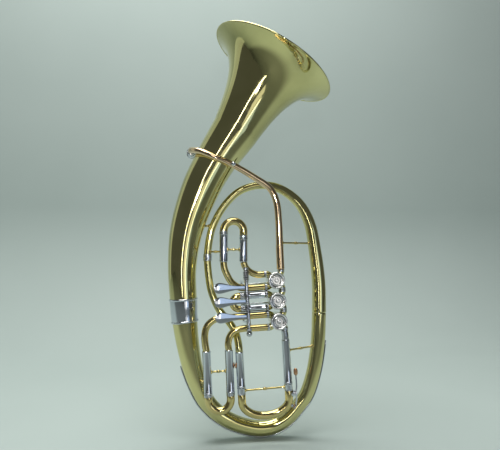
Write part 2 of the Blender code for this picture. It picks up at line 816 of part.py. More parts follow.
def passage_route(side):
    """An arc that meets the rotor's skin square at two ports, with a straight run out at each end."""
    centre = ROTOR_RADIUS * math.sqrt(2.0)
    points = arc((centre, 0.0), ROTOR_RADIUS, 135, 225, 4)
    out = 4.0 / math.sqrt(2.0)
    (u0, v0), (u1, v1) = points[0], points[-1]
    points = [(u0 + out, v0 + out)] + points + [(u1 + out, v1 - out)]
    return [(u * side, SLIDE_PLANE, v, PASSAGE_RADIUS) for u, v in points]


def pin_place(number):
    """Stop-arm pin at rest, from its valve's centre: to the left, and down or up."""
    reach = STOP_RADIUS * math.sin(ROTOR_TURN / 2)
    return (-reach, LINK_SIDE[number] * reach)


def make_stop_arm(number):
    name = "stop_arm_%d" % number
    u, v = pin_place(number)
    middle = (STOP_FRONT + STOP_BACK) / 2
    half = (STOP_BACK - STOP_FRONT) / 2
    angle = math.atan2(v, u)
    frame = Matrix.Translation(Vector((0.0, middle, 0.0)) * MM) @ TO_FRONT
    frame = frame @ Matrix.Rotation(angle, 4, "Z")
    arm = as_mesh(plate(name, egg_outline(STOP_RADIUS, 4.3, 2.5, 6), half, BRASS, frame))
    settle(arm)
    hole = rod("hole", (0.0, middle - 5.0, 0.0), (0.0, middle + 5.0, 0.0), SPINDLE_RADIUS + GAP)
    cut(arm, hole)
    return placed(arm, column_frame(0.0, 0.0, valve_v(number)))


# Lever work

def rest_swing():
    """How far the rear arm leans to the left at rest; pressed, it leans as far to the right."""
    return math.atan(STOP_RADIUS * math.sin(ROTOR_TURN / 2) / (LINK_Y - AXLE_Y))


def axes_frame(origin, x_axis, y_axis):
    x = Vector(x_axis).normalized()
    y = Vector(y_axis).normalized()
    z = x.cross(y)
    turn = Matrix((x, y, z)).transposed().to_4x4()
    return Matrix.Translation(Vector(origin) * MM) @ turn


def paddle_outline():
    """Teardrop: a slim neck at the axle that swells to a round touch."""
    wide = PADDLE_WIDTH / 2
    far = PADDLE_LENGTH - wide
    neck = PADDLE_NECK / 2
    edge = [(0.02 * PADDLE_LENGTH, 0.0, neck), (0.28 * PADDLE_LENGTH, 0.0, 1.04 * neck),
            (0.51 * PADDLE_LENGTH, 0.0, 0.58 * wide), (0.75 * PADDLE_LENGTH, 0.0, 0.95 * wide),
            (far, 0.0, wide)]
    side = [(x, half) for x, _, half in smooth_through(edge, 0.2)]
    tip = arc((far, 0.0), wide, -90, 90, 9)[1:-1]
    return [(x, -half) for x, half in side] + tip + side[::-1]


def hub_span(number):
    near = PADDLE_V[number]
    arm = valve_v(number)
    low = min(near - HUB_BESIDE_PADDLE, arm - HUB_BESIDE_ARM)
    return low, max(near + HUB_BESIDE_PADDLE, arm + HUB_BESIDE_ARM)


def make_lever(number):
    """Paddle, hub on the axle and rear arm with the link's pin, as one piece."""
    name = "lever_%d" % number
    low, high = hub_span(number)
    lever = rod(name, (0, 0, low), (0, 0, high), HUB_RADIUS, 12)
    lever.data.materials.append(finish_of(name, NICKEL))
    rise = PADDLE_RISE
    lift = PADDLE_LIFT
    along = Vector((-math.cos(rise), -math.sin(rise), 0.0)) * math.cos(lift) + Vector((0, 0, math.sin(lift)))
    across = Vector((0, 0, 1)) - along * along.z
    frame = axes_frame((0.0, 0.0, PADDLE_V[number]), along, across)
    paddle = as_mesh(plate("paddle", paddle_outline(), PADDLE_THICK / 2, None, frame))
    settle(paddle)
    swing = rest_swing()
    reach = (LINK_Y - AXLE_Y) / math.cos(swing)
    aim = Vector((-math.sin(swing), math.cos(swing), 0.0))
    level = valve_v(number)
    frame = axes_frame((0.0, 0.0, level), aim, Vector((0, 0, 1)).cross(aim))
    arm = as_mesh(plate("rear_arm", egg_outline(reach, ARM_ROOT, ARM_TIP), ARM_THICK / 2, None, frame))
    settle(arm)
    pin_u = aim.x * reach
    pin_y = aim.y * reach
    offset = pin_place(number)[1]
    end = level + offset + math.copysign(2.0, offset)
    pin = rod("pin", (pin_u, pin_y, level), (pin_u, pin_y, end), PIN_RADIUS, 8)
    join(lever, paddle, arm, pin)
    cut(lever, rod("hub_bore", (0, 0, low - 5), (0, 0, high + 5), HUB_BORE, 12))
    return placed(lever, column_frame(AXLE_U, AXLE_Y, 0.0))


def make_link(number):
    """Eye on the lever's pin, round rod, and a flat end with its screw head behind the stop arm."""
    name = "link_%d" % number
    u, v = pin_place(number)
    level = valve_v(number) + v
    left = AXLE_U + u
    right = u
    eye = rod(name, (left, LINK_Y, level - 1.2), (left, LINK_Y, level + 1.2), 2.9, 12)
    eye.data.materials.append(finish_of(name, NICKEL))
    bar = rod("bar", (left + 2.0, LINK_Y, level), (right - 1.0, LINK_Y, level), 1.0, 6)
    half = LINK_THICK / 2
    end = rod("end", (right, LINK_Y - half, level), (right, LINK_Y + half, level), 2.6, 10)
    head = rod("screw_head", (right, LINK_Y, level), (right, LINK_Y + half + 1.1, level), 1.7, 8)
    join(eye, bar, end, head)
    cut(eye, rod("eye_bore", (left, LINK_Y, level - 5), (left, LINK_Y, level + 5), PIN_RADIUS + GAP, 10))
    return placed(eye, column_frame())


def make_axle():
    profile = [(0.0, AXLE_TOP), (AXLE_RADIUS - 0.4, AXLE_TOP), (AXLE_RADIUS, AXLE_TOP - 0.4)]
    centre = AXLE_BOTTOM - AXLE_BALL * math.cos(math.asin(AXLE_RADIUS / AXLE_BALL))
    opening = 90 - math.degrees(math.asin(AXLE_RADIUS / AXLE_BALL))
    profile += arc((0.0, centre), AXLE_BALL, opening, -90, 7)
    turned("lever_axle", profile, NICKEL, column_frame(AXLE_U, AXLE_Y, 0.0), steps=12)


def make_post(name, level, tube):
    """A bracket round the axle whose foot is hollowed to sit on a slide tube."""
    frame = axes_frame((AXLE_U, AXLE_Y, level), (0, 1, 0), (-1, 0, 0))
    post = as_mesh(plate(name, egg_outline(9.0, 4.4, 2.6), 1.8, NICKEL, column_frame() @ frame))
    settle(post)
    bore = rod("post_bore", (AXLE_U, AXLE_Y, level - 6), (AXLE_U, AXLE_Y, level + 6), AXLE_RADIUS + GAP, 12)
    bore.matrix_world = column_frame()
    settle(bore)
    clear = [(x, y, z, radius + GAP) for x, y, z, radius in tube]
    return cut(post, bore, solid_pipe("post_seat", clear))


def coil(name, frame, start, length, radius, wire, step, finish):
    """One unbroken helix along its frame's Z, from start over length; its turns keep off one another."""
    turns = (length - 2 * wire - GAP) / step
    count = int(turns * CURL_POINTS)
    stations = []
    for i in range(count + 1):
        angle = math.tau * i / CURL_POINTS
        place = Vector((radius * math.cos(angle), radius * math.sin(angle), 0.0)) * MM
        place.z = (start + GAP / 2 + wire + step * i / CURL_POINTS) * MM
        place = frame @ place / MM
        stations.append((*place, wire))
    print(name, "turns", round(turns, 1), "least gap to itself", round(least_gap(stations), 2), "mm")
    obj = pipe(name, stations, finish, sides=6)
    obj.data.splines[0].use_smooth = True
    return obj


def least_gap(stations):
    """Least distance between the skins of turns, measured on points half a turn or more apart."""
    places = np.array([s[:3] for s in stations])
    far = CURL_POINTS // 2
    best = 1e9
    for i in range(len(places) - far):
        best = min(best, float(np.linalg.norm(places[i + far:] - places[i], axis=1).min()))
    return best - 2 * stations[0][3]


def make_lever_springs():
    spans = {1: (hub_span(1)[1], AXLE_TOP - 4.2), 2: (hub_span(2)[1], hub_span(1)[0]),
             3: (hub_span(3)[1], hub_span(2)[0])}
    for number, (low, high) in spans.items():
        frame = column_frame(AXLE_U, AXLE_Y, 0.0)
        name = "lever_spring_%d" % number
        coil(name, frame, low, high - low, SPRING_RADIUS, SPRING_WIRE, SPRING_STEP, STEEL)


# Slides

def first_tubes():
    y = SLIDE_PLANE
    made = []
    for up, bend, x, top in ((1, FIRST_UPPER_BEND, FIRST_RIGHT_X, FIRST_SLEEVE_TOP_RIGHT),
                             (-1, FIRST_LOWER_BEND, FIRST_LEFT_X, FIRST_SLEEVE_TOP_LEFT)):
        route = [port_end(1, up)] + in_slide_plane(bend) + [(x, y, FIRST_SLEEVE_BOTTOM - 0.6)]
        made.append(bend_and_sleeve(route, (x, y, FIRST_SLEEVE_BOTTOM), (x, y, top)))
    return made


def in_slide_plane(points):
    """(x, z) to (x, y, z)."""
    return [(x, SLIDE_PLANE, z) for x, z in points]


def bend_and_sleeve(bend, start, end):
    """Stations of a bent tube that opens into a straight, wider sleeve with a ring at its mouth."""
    stations = smooth_through([(*p, BEND_RADIUS) for p in bend])
    return stations + [(*start, SLEEVE_RADIUS)] + mouth_ring(start, end)


def third_tubes():
    top = THIRD_SLEEVE_TOP
    made = []
    for up, bend in ((1, THIRD_UPPER_BEND), (-1, THIRD_LOWER_BEND)):
        across = -up * THIRD_SPREAD / 2
        route = [port_end(3, up)] + in_slide_plane(bend) + [third_point(across, top + 0.6)]
        mouth = third_point(across, THIRD_SLEEVE_BOTTOM)
        made.append(bend_and_sleeve(route, third_point(across, top), mouth))
    return made


def u_shape(point, spread, drop, stretch, depth, radii, shoulder=0.0, count=7):
    """Stations of a moving slide: a leg, its crook and the other leg.

    point maps (across, up) to a place; stretch gives each leg's length from the crook to its sleeve,
    depth how far it goes in; radii are those of leg, ferrule and crook.
    """
    leg, ferrule, crook = radii
    left_run, right_run = stretch
    half = spread / 2
    route = [(-half, left_run + depth, leg), (-half, left_run + 0.4, leg), (-half, left_run, ferrule)]
    if shoulder:
        route += [(-half, left_run - shoulder, ferrule), (-half, left_run - shoulder - 0.4, crook)]
    for i in range(count):
        angle = math.pi * i / (count - 1)
        route.append((-half * math.cos(angle), -drop * math.sin(angle), crook))
    if shoulder:
        route += [(half, right_run - shoulder - 0.4, crook), (half, right_run - shoulder, ferrule)]
    route += [(half, right_run, ferrule), (half, right_run + 0.4, leg), (half, right_run + depth, leg)]
    return [(*point(across, up), radius) for across, up, radius in route]


def make_first_slide():
    middle = (FIRST_LEFT_X + FIRST_RIGHT_X) / 2
    spread = FIRST_RIGHT_X - FIRST_LEFT_X
    level = FIRST_SLEEVE_TOP_LEFT + GAP + 3.0

    def point(across, up):
        return (middle + across, SLIDE_PLANE, level - up)

    stretch = (3.0, level - FIRST_SLEEVE_TOP_RIGHT - GAP)
    radii = (LEG_RADIUS, SLEEVE_RADIUS, CROOK_RADIUS)
    stations = u_shape(point, spread, spread / 2, stretch, FIRST_LEG_DEPTH, radii)
    slide = pipe("first_slide", stations, BRASS, wall=LEG_WALL)
    carried_by(slide, point(0, 0), "first_slide_axis")


def make_third_slide():
    run = THIRD_SLEEVE_BOTTOM - GAP
    stations = u_shape(third_point, THIRD_SPREAD, THIRD_SPREAD / 2, (run, run), THIRD_LEG_DEPTH,
                       (LEG_RADIUS, SLEEVE_RADIUS, CROOK_RADIUS), 3.0)
    slide = pipe("third_slide", stations, BRASS, wall=LEG_WALL)
    carried_by(slide, third_point(0, 0), "third_slide_axis")


def make_second_slide():
    """A short U that points left from the middle valve."""
    end = -KNUCKLE_REACH - GAP - SECOND_SLEEVE_LENGTH
    centre = end - GAP - 6.5

    def point(across, up):
        return in_column(centre + up, SLIDE_PLANE, across)

    radii = (SECOND_LEG_RADIUS, SECOND_SLEEVE_RADIUS, SECOND_CROOK_RADIUS)
    stations = u_shape(point, 2 * PORT_OFFSET, PORT_OFFSET, (6.5, 6.5), SECOND_LEG_DEPTH, radii, count=7)
    slide = pipe("second_slide", stations, BRASS, wall=LEG_WALL)
    carried_by(slide, point(0, 0), "second_slide_axis")
    for name, up in (("second_upper_tube", 1), ("second_lower_tube", -1)):
        far = in_column(end, SLIDE_PLANE, up * PORT_OFFSET)
        run = [(*port_end(2, up), SECOND_SLEEVE_RADIUS), (*far, SECOND_SLEEVE_RADIUS)]
        pipe(name, run, NICKEL, wall=SLEEVE_WALL)


def make_main_slide():
    """Tuning slide: crook with ferrules, inner legs, a stay between them and the water nipple."""
    run = MAIN_SLEEVE_BOTTOM - GAP
    stations = u_shape(main_point, MAIN_SPREAD, MAIN_CROOK_DROP, (run, run), MAIN_LEG_DEPTH,
                       (LEG_RADIUS, SLEEVE_RADIUS, CROOK_RADIUS), MAIN_FERRULE, 8)
    edge = MAIN_SPREAD / 2 - 3.0
    bar = [(*main_point(along, MAIN_STAY), radius) for along, radius in main_stay_profile(edge)]
    nipple, bore = nipple_pieces()
    stay = solid_pipe("main_stay", bar, 8)
    slide = bored_pipe("main_slide", stations, LEG_WALL, BRASS, [stay, nipple], [bore])
    carried_by(slide, main_point(0, 0), "main_slide_axis")


def main_stay_profile(edge):
    """(across, radius) of the bar between the legs' ferrules, with two small swellings."""
    skin = MAIN_SPREAD / 2 - SLEEVE_RADIUS
    half = [(edge, 2.8), (skin - 0.7, 2.8), (skin - 2.2, STAY_RADIUS), (11.0, STAY_RADIUS),
            (8.0, STAY_RADIUS + 0.9), (5.0, STAY_RADIUS)]
    return [(-across, radius) for across, radius in half] + half[::-1]


def nipple_line():
    """Centre of the crook's tube at the nipple and the way out from it, both (across, up)."""
    a = KEY_NIPPLE_ANGLE
    half = MAIN_SPREAD / 2
    centre = Vector((half * math.cos(a), -MAIN_CROOK_DROP * math.sin(a)))
    out = Vector((math.cos(a) / half, -math.sin(a) / MAIN_CROOK_DROP)).normalized()
    return centre, out


def nipple_pieces():
    centre, out = nipple_line()

    def place(away):
        at = centre + out * away
        return main_point(at.x, at.y)

    outer = CROOK_RADIUS + KEY_NIPPLE_HEIGHT
    nipple = rod("nipple", place(CROOK_RADIUS - 3.0), place(outer), 2.4, 10)
    bore = rod("nipple_bore", place(CROOK_RADIUS - 3.0), place(outer + 2.0), 1.3, 8)
    return nipple, bore


def main_right_stations():
    half = MAIN_SPREAD / 2
    below = in_column(LINE_OFFSET, SLIDE_PLANE, valve_v(3) - VALVE_PITCH / 2 - 3.0)
    stations = [(*line_end(3, -1), 5.4), (*below, 5.4), (*main_point(half, 93.0), 5.8)]
    stations.append((*main_point(half, 88.0), SLEEVE_RADIUS))
    return stations + mouth_ring(main_point(half, 88.0), main_point(half, MAIN_SLEEVE_BOTTOM))


def make_main_tubes():
    half = MAIN_SPREAD / 2
    pipe("main_right_tube", main_right_stations(), NICKEL, wall=SLEEVE_WALL)
    top = main_point(-half, MAIN_SLEEVE_TOP_LEFT)
    bottom = main_point(-half, MAIN_SLEEVE_BOTTOM)
    start = Vector(main_point(-half, PAIR_STAY_UP))
    third = Vector(third_point(THIRD_SPREAD / 2, PAIR_STAY_THIRD_UP))
    length = (third - start).length - SLEEVE_RADIUS + 1.5
    step = (third - start).normalized()
    marks = [(3.0, STAY_FOOT), (SLEEVE_RADIUS + 0.8, STAY_FOOT), (SLEEVE_RADIUS + 1.2, STAY_RADIUS),
             (length - 2.7, STAY_RADIUS), (length - 2.3, STAY_FOOT), (length, STAY_FOOT)]
    stay = solid_pipe("pair_stay", [(*(start + step * along), radius) for along, radius in marks], 8)
    cut(stay, solid_pipe("pair_stay_seat", grown(third_tubes()[1], GAP)))
    stay = placed(stay, Matrix.Identity(4))
    left = [(*top, SLEEVE_RADIUS)] + mouth_ring(top, bottom)
    bored_pipe("main_left_tube", left, SLEEVE_WALL, NICKEL, [stay])


def mouth_ring(start, end):
    """Last stations of a sleeve from start to end, with the raised ring at its mouth."""
    run = (Vector(end) - Vector(start)).normalized()
    marks = [(1.8, 0.0), (0.6, SLEEVE_RING), (0.0, SLEEVE_RING)]
    return [(*(Vector(end) - run * back), SLEEVE_RADIUS + proud) for back, proud in marks]


# Water key

def key_place(across, up, y=0.0):
    x, _, z = main_point(MAIN_SPREAD / 2 + across, up)
    return (x, SLIDE_PLANE + y, z)


def make_water_key():
    """Saddle with its pin, rocking key with touch and cork cup, cork and coil spring."""
    across, up = KEY_HINGE
    outline = [(-4.5, -4.6), (4.5, -4.6), (4.5, 4.6), (-4.5, 4.6)]
    frame = axes_frame(key_place(SLEEVE_RADIUS + SADDLE_HALF, up), key_direction(0, 1), (0, -1, 0))
    base = as_mesh(plate("water_key_saddle", outline, SADDLE_HALF + SADDLE_SINK, NICKEL, frame))
    settle(base)
    for y in (-5.0, 4.0):
        frame = axes_frame(key_place(across, up, y + 0.5), key_direction(-1, 0), key_direction(0, 1))
        ear = as_mesh(plate("ear", egg_outline(across - SLEEVE_RADIUS, 2.1, 3.2, 5), 0.5, None, frame))
        settle(ear)
        join(base, ear)
    join(base, rod("key_pin", key_place(across, up, -5.8), key_place(across, up, 5.8), 0.9, 8))
    cut(base, rod("saddle_seat", key_place(0, up - 20), key_place(0, up + 20), SLEEVE_RADIUS + GAP, 12))
    carried_by(base, main_point(0, 0), "main_slide_axis")
    make_key_lever(across, up)


def key_direction(across, up):
    a = Vector(main_point(across, up)) - Vector(main_point(0, 0))
    return a.normalized()


def make_key_lever(across, up):
    centre, out = nipple_line()
    cup = centre + out * (CROOK_RADIUS + KEY_NIPPLE_HEIGHT + 3.3)
    cup_across = cup.x - MAIN_SPREAD / 2
    hub = rod("water_key", key_place(across, up, -3.8), key_place(across, up, 0.4), 2.2, 12)
    hub.data.materials.append(finish_of("water_key", NICKEL))
    touch_a, touch_u = KEY_TOUCH
    upper = [(*key_place(across, up, -1.6), 1.5), (*key_place(across + 1.8, up + 8, -1.0), 1.3),
             (*key_place(touch_a, touch_u - 4, 0.0), 1.2)]
    lower = [(*key_place(across, up, -1.6), 1.5), (*key_place(across + 1.0, up - 7, -0.8), 1.4),
             (*key_place(cup_across + 0.6, cup.y - 0.2, 0.0), 1.1)]
    knob = [(*key_place(touch_a, touch_u - 5.2), 1.4), (*key_place(touch_a, touch_u - 3), 3.1),
            (*key_place(touch_a, touch_u + 2.5), 3.3), (*key_place(touch_a, touch_u + 5.6), 1.4)]
    join(hub, solid_pipe("upper_arm", smooth_through(upper), 6))
    join(hub, solid_pipe("lower_arm", smooth_through(lower), 6))
    join(hub, solid_pipe("touch", knob, 10))

    def on_line(away):
        at = centre + out * (CROOK_RADIUS + KEY_NIPPLE_HEIGHT + away)
        return key_place(at.x - MAIN_SPREAD / 2, at.y)

    join(hub, rod("cup", on_line(1.7), on_line(3.5), KEY_CORK_RADIUS + 0.5, 12))
    cut(hub, rod("pin_bore", key_place(across, up, -9), key_place(across, up, 9), 1.2, 8))
    cork = rod("water_key_cork", on_line(GAP), on_line(1.6 - GAP), KEY_CORK_RADIUS, 12)
    cork.data.materials.append(finish_of("water_key_cork", CORK))
    pivot = key_place(across, up)
    for piece in (hub, cork):
        carried_by(piece, pivot, "water_key_axis")
    frame = axes_frame(key_place(across, up, 0.55), key_direction(0, 1), key_direction(1, 0))
    spring = coil("water_key_spring", frame, 0.0, 3.3, 1.75, 0.3, 1.05, STEEL)
    carried_by(spring, main_point(0, 0), "main_slide_axis")


# Stays

def stay_profile(length, slack):
    """(distance, radius) along a turned stay: a foot at each end and a swelling in the middle."""
    foot = STAY_FOOT
    slim = STAY_RADIUS
    flat = slack + 0.8
    if length < 2 * slack + 12.0:
        return [(0.0, foot), (flat, foot), (flat + 1.0, slim + 0.3), (length - flat - 1.0, slim + 0.3),
                (length - flat, foot), (length, foot)]
    middle = length / 2
    half = [(0.0, foot), (flat, foot), (flat + 1.8, slim), (middle - 3.6, slim), (middle - 1.6, slim + 0.9)]
    return half + [(length - along, radius) for along, radius in reversed(half)]


def make_stay(name, start, end, *tubes, slack=1.6):
    """A stay between the centre lines of two tubes, (x, y, z, radius), its feet hollowed to their skins."""
    a = Vector(start[:3])
    run = Vector(end[:3]) - a
    step = run.normalized()
    a = a + step * (start[3] - slack)
    length = run.length - start[3] - end[3] + 2 * slack
    stations = [(*(a + step * along), radius) for along, radius in stay_profile(length, slack)]
    stay = solid_pipe(name, stations, 8)
    stay.data.materials.append(finish_of(name, BRASS))
    for route, sides in tubes:
        cut(stay, solid_pipe(name + "_seat", grown(route, GAP), sides))
    return stay


def make_stays():
    y = SLIDE_PLANE
    bell = (bell_stations(), BELL_SIDES)
    upper = (upper_bow_stations(), BOW_SIDES)
    lower = (lower_bow_stations(), BOW_SIDES)
    lead = (leadpipe_stations(), TUBE_SIDES)
    first_up, first_low = ((tube, TUBE_SIDES) for tube in first_tubes())
    third_up, third_low = ((tube, TUBE_SIDES) for tube in third_tubes())
    main_right = (main_right_stations(), TUBE_SIDES)
    sleeve = SLEEVE_RADIUS
    ends = (at_height(bell[0], BELL_STAY_Z), at_height(upper[0], BELL_STAY_Z, True))
    make_stay("bell_stay", *ends, bell, upper)
    make_stay("leadpipe_stay", LEADPIPE_STAY_ON_BELL, LEADPIPE_STAY_ON_PIPE, bell, lead)
    ends = (at_height(lead[0], UPPER_BOW_STAY_Z), at_height(upper[0], UPPER_BOW_STAY_Z))
    make_stay("upper_bow_stay", *ends, lead, upper)
    end = (FIRST_LEFT_X, y, BRANCH_STAY_Z, sleeve)
    make_stay("first_branch_stay", at_height(upper[0], BRANCH_STAY_Z, True), end, upper, first_low)
    ends = [(x, y, FIRST_STAY_Z, sleeve) for x in (FIRST_LEFT_X, FIRST_RIGHT_X)]
    make_stay("first_slide_stay", *ends, first_low, first_up)
    half = THIRD_SPREAD / 2
    ends = [(*third_point(across, THIRD_STAY), sleeve) for across in (-half, half)]
    make_stay("third_slide_stay", *ends, third_up, third_low)
    end = (*third_point(-half, 25.0), sleeve)
    make_stay("third_slide_bow_stay", at_height(lower[0], THIRD_BOW_STAY_Z), end, lower, third_up)
    start = (*main_point(MAIN_SPREAD / 2, 71.0), sleeve)
    make_stay("slide_bow_stay", start, at_height(lower[0], SLIDE_BOW_STAY_Z, True), main_right, lower)


def build_horn():
    make_bell()
    make_bows()
    make_ferrules()
    make_guard_wire()
    make_leadpipe()
    make_casings()
    for number in (1, 2, 3):
        make_bearing_plate(number)
        make_cap(number)
        valve_axis = in_column(0.0, 0.0, valve_v(number))
        carried_by(make_rotor(number), valve_axis, "rotor_axis_%d" % number)
        carried_by(make_stop_arm(number), valve_axis, "rotor_axis_%d" % number)
        lever_axis = in_column(AXLE_U, AXLE_Y, valve_v(number))
        carried_by(make_lever(number), lever_axis, "lever_axis_%d" % number)
        u, v = pin_place(number)
        link_axis = in_column(AXLE_U + u, LINK_Y, valve_v(number) + v)
        carried_by(make_link(number), link_axis, "link_axis_%d" % number)
    make_axle()
    upper, lower = first_tubes()
    pipe("first_upper_tube", upper, BRASS, wall=SLEEVE_WALL)
    pipe("first_lower_tube", lower, BRASS, wall=SLEEVE_WALL)
    make_post("axle_post_top", AXLE_TOP - 2.0, upper)
    upper, lower = third_tubes()
    pipe("third_upper_tube", upper, BRASS, wall=SLEEVE_WALL)
    pipe("third_lower_tube", lower, BRASS, wall=SLEEVE_WALL)
    make_post("axle_post_bottom", valve_v(3) - PORT_OFFSET, lower)
    make_lever_springs()
    make_first_slide()
    make_second_slide()
    make_third_slide()
    make_main_tubes()
    make_main_slide()
    make_water_key()
    make_stays()


clear_scene()
HORN = new_collection("alto_horn")
CUTTERS = new_collection("cutters")
CUTTERS.hide_render = True
build_horn()
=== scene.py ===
# %% [markdown]
# # An oval alto horn in lacquered brass
#
# The horn is a family of bent tubes: a bell, two bows that close an oval, three rotary valves and four
# slides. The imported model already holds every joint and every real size, but its tubes have only ten or
# twelve flat sides. Polished metal shows each flat side at once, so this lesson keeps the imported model
# as a fixed frame and gives each visible piece a round, finely stepped version in the same place.

# %% Load the frame
import math

import bpy
import numpy as np
from mathutils import Matrix, Vector


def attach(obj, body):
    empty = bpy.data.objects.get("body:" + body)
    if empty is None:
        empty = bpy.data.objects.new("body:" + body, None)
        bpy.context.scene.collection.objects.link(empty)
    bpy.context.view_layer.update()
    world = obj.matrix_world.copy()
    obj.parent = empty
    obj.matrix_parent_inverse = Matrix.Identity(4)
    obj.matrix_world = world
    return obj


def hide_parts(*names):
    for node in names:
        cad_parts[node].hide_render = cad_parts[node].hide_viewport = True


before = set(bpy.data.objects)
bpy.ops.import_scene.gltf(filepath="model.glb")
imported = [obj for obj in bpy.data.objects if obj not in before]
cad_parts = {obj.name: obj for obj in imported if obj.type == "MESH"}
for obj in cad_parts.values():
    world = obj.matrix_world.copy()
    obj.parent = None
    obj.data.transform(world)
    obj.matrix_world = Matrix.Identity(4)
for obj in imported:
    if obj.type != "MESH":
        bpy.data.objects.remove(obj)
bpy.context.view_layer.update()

# %% [markdown]
# ## Units and small habits
#
# Instrument makers work in millimetres and Blender in metres, so sizes below are typed in millimetres and
# multiplied once. Operators act on whatever is selected, and loading the frame leaves its pieces
# selected, so each step starts by selecting only what it is about.

# %% Selecting, smoothing and settling
MM = 0.001
HORN_BODY = "horn"


def only(*pieces):
    bpy.ops.object.select_all(action="DESELECT")
    for piece in pieces:
        piece.select_set(True)
    if pieces:
        bpy.context.view_layer.objects.active = pieces[0]


def settle(piece, place=None):
    """Puts a piece at its place and writes that place into its mesh."""
    only(piece)
    if place is not None:
        piece.matrix_world = place
    bpy.ops.object.transform_apply(location=True, rotation=True, scale=True)
    return piece


def smooth(piece, degrees=35.0):
    only(piece)
    bpy.ops.object.shade_smooth_by_angle(angle=math.radians(degrees))
    return piece


def rounded(piece, width, degrees=40.0, segments=2):
    """Breaks the sharp edges by a narrow bevel, in mm, so that they catch the light."""
    only(piece)
    bpy.ops.object.modifier_add(type="BEVEL")
    edge = piece.modifiers[-1]
    edge.width = width * MM
    edge.segments = segments
    edge.limit_method = "ANGLE"
    edge.angle_limit = math.radians(degrees)
    edge.harden_normals = False
    bpy.ops.object.modifier_apply(modifier=edge.name)
    return smooth(piece)


def joined(name, *pieces):
    """Makes one object of several, as solder does."""
    only(*pieces)
    if len(pieces) > 1:
        bpy.ops.object.join()
    pieces[0].name = name
    return pieces[0]


only()
print("pieces still selected:", len(bpy.context.selected_objects))

# %% [markdown]
# ## Finishes
#
# The bell, the bows and the valves are yellow brass under clear lacquer, which looks olive where it
# mirrors a dark room. Bends and crooks are a warmer brass, the leadpipe is rose brass, and the touch of
# the water key and one short stay are bronze. Sleeves, ferrules and levers are nickel silver, a white
# alloy that resists wear where hands and slides rub, and the caps are a paler sort of it. Springs are
# blued steel and the water key closes on cork.
#
# A finish is a net of nodes, and small helpers keep it readable: one gives a new material and its
# coordinates, one fills a node's inputs, one adds a node and hands back the output that leads on, and
# one makes the ramp between two tones.

# %% Building a finish from nodes
def new_finish(name):
    """A new material, its node tree, its shader and the piece's own coordinates."""
    made = bpy.data.materials.new(name)
    made.use_nodes = True
    tree = made.node_tree
    place = tree.nodes.new("ShaderNodeTexCoord").outputs["Object"]
    return made, tree, tree.nodes["Principled BSDF"], place


def fill(tree, node, inputs):
    """Each input gets a plain value, or a link from another node's output."""
    for title, value in inputs.items():
        if isinstance(value, bpy.types.NodeSocket):
            tree.links.new(value, node.inputs[title])
        else:
            node.inputs[title].default_value = value


def add_node(tree, kind, output, inputs, **settings):
    """Settings come before inputs, because some of them change which inputs there are."""
    node = tree.nodes.new("ShaderNode" + kind)
    for title, value in settings.items():
        setattr(node, title, value)
    fill(tree, node, inputs)
    return node.outputs[output]


def two_tones(tree, share, low, high, marks=(0.0, 1.0)):
    """A colour between low and high, as the share goes from the first mark to the second."""
    ramp = tree.nodes.new("ShaderNodeValToRGB")
    for stop, mark, tone in zip(ramp.color_ramp.elements, marks, (low, high)):
        stop.position = mark
        stop.color = (*tone, 1.0)
    tree.links.new(share, ramp.inputs["Fac"])
    return ramp.outputs["Color"]


# %% [markdown]
# A polished metal has almost no colour of its own between reflections, so its life comes from small
# changes: a slow drift between two tones, clouds of fingerprints in the roughness, hairline polishing
# marks in the bump over a faint ripple left by the hammer, and a darker tone where pieces meet and in
# hollows, partly grime and partly painted shade, laid on by ambient occlusion.

# %% A polished metal with wear, grime and painted shade
# Dark tones for joints and hollows: partly grime, partly painted shade laid on where nearby pieces hide the
# surface.
BRASS_GRIME_AND_SHADE = (0.10, 0.075, 0.035, 1.0)
NICKEL_GRIME_AND_SHADE = (0.13, 0.12, 0.10, 1.0)
CAP_GRIME_AND_SHADE = (0.15, 0.13, 0.10, 1.0)
STEEL_GRIME_AND_SHADE = (0.05, 0.05, 0.05, 1.0)


def metal(name, light, dark, shine, marks, lacquer, grime_and_shade=BRASS_GRIME_AND_SHADE):
    """light and dark are the two tones, shine the roughness from clean to handled."""
    made, tree, shader, place = new_finish(name)
    drift = add_node(tree, "TexNoise", "Fac", {"Vector": place, "Scale": 14.0, "Detail": 3.0})
    tones = two_tones(tree, drift, dark, light, (0.36, 0.66))
    # Painted shade and grime: ambient occlusion turns the colour to the dark tone where pieces meet and in
    # hollows.
    occlusion_shade = add_node(tree, "AmbientOcclusion", "AO", {"Distance": 2.2 * MM}, samples=6)
    unshaded_share = add_node(tree, "MapRange", "Result", {"Value": occlusion_shade, "From Min": 0.45, "From Max": 0.85})
    colour = add_node(tree, "Mix", "Result", {"Factor": unshaded_share, "A": grime_and_shade, "B": tones},
                      data_type="RGBA")
    prints = add_node(tree, "TexNoise", "Fac",
                      {"Vector": place, "Scale": 70.0, "Detail": 6.0, "Roughness": 0.65})
    gloss = add_node(tree, "MapRange", "Result", {"Value": prints, "From Min": 0.38, "From Max": 0.72,
                                                  "To Min": shine[0], "To Max": shine[1]})
    stretch = add_node(tree, "Mapping", "Vector", {"Vector": place, "Scale": (900.0, 900.0, 120.0)})
    hairs = add_node(tree, "TexNoise", "Fac", {"Vector": stretch, "Scale": 1.0, "Detail": 2.0})
    polished = add_node(tree, "Bump", "Normal",
                        {"Height": hairs, "Strength": marks, "Distance": 0.02 * MM})
    ripple = add_node(tree, "TexNoise", "Fac", {"Vector": place, "Scale": 20.0, "Detail": 1.0})
    beaten = add_node(tree, "Bump", "Normal", {"Height": ripple, "Normal": polished, "Strength": 0.5,
                                               "Distance": 0.14 * MM})
    fill(tree, shader, {"Base Color": colour, "Metallic": 1.0, "Roughness": gloss, "Normal": beaten,
                        "Coat Weight": lacquer, "Coat Roughness": 0.08})
    return made


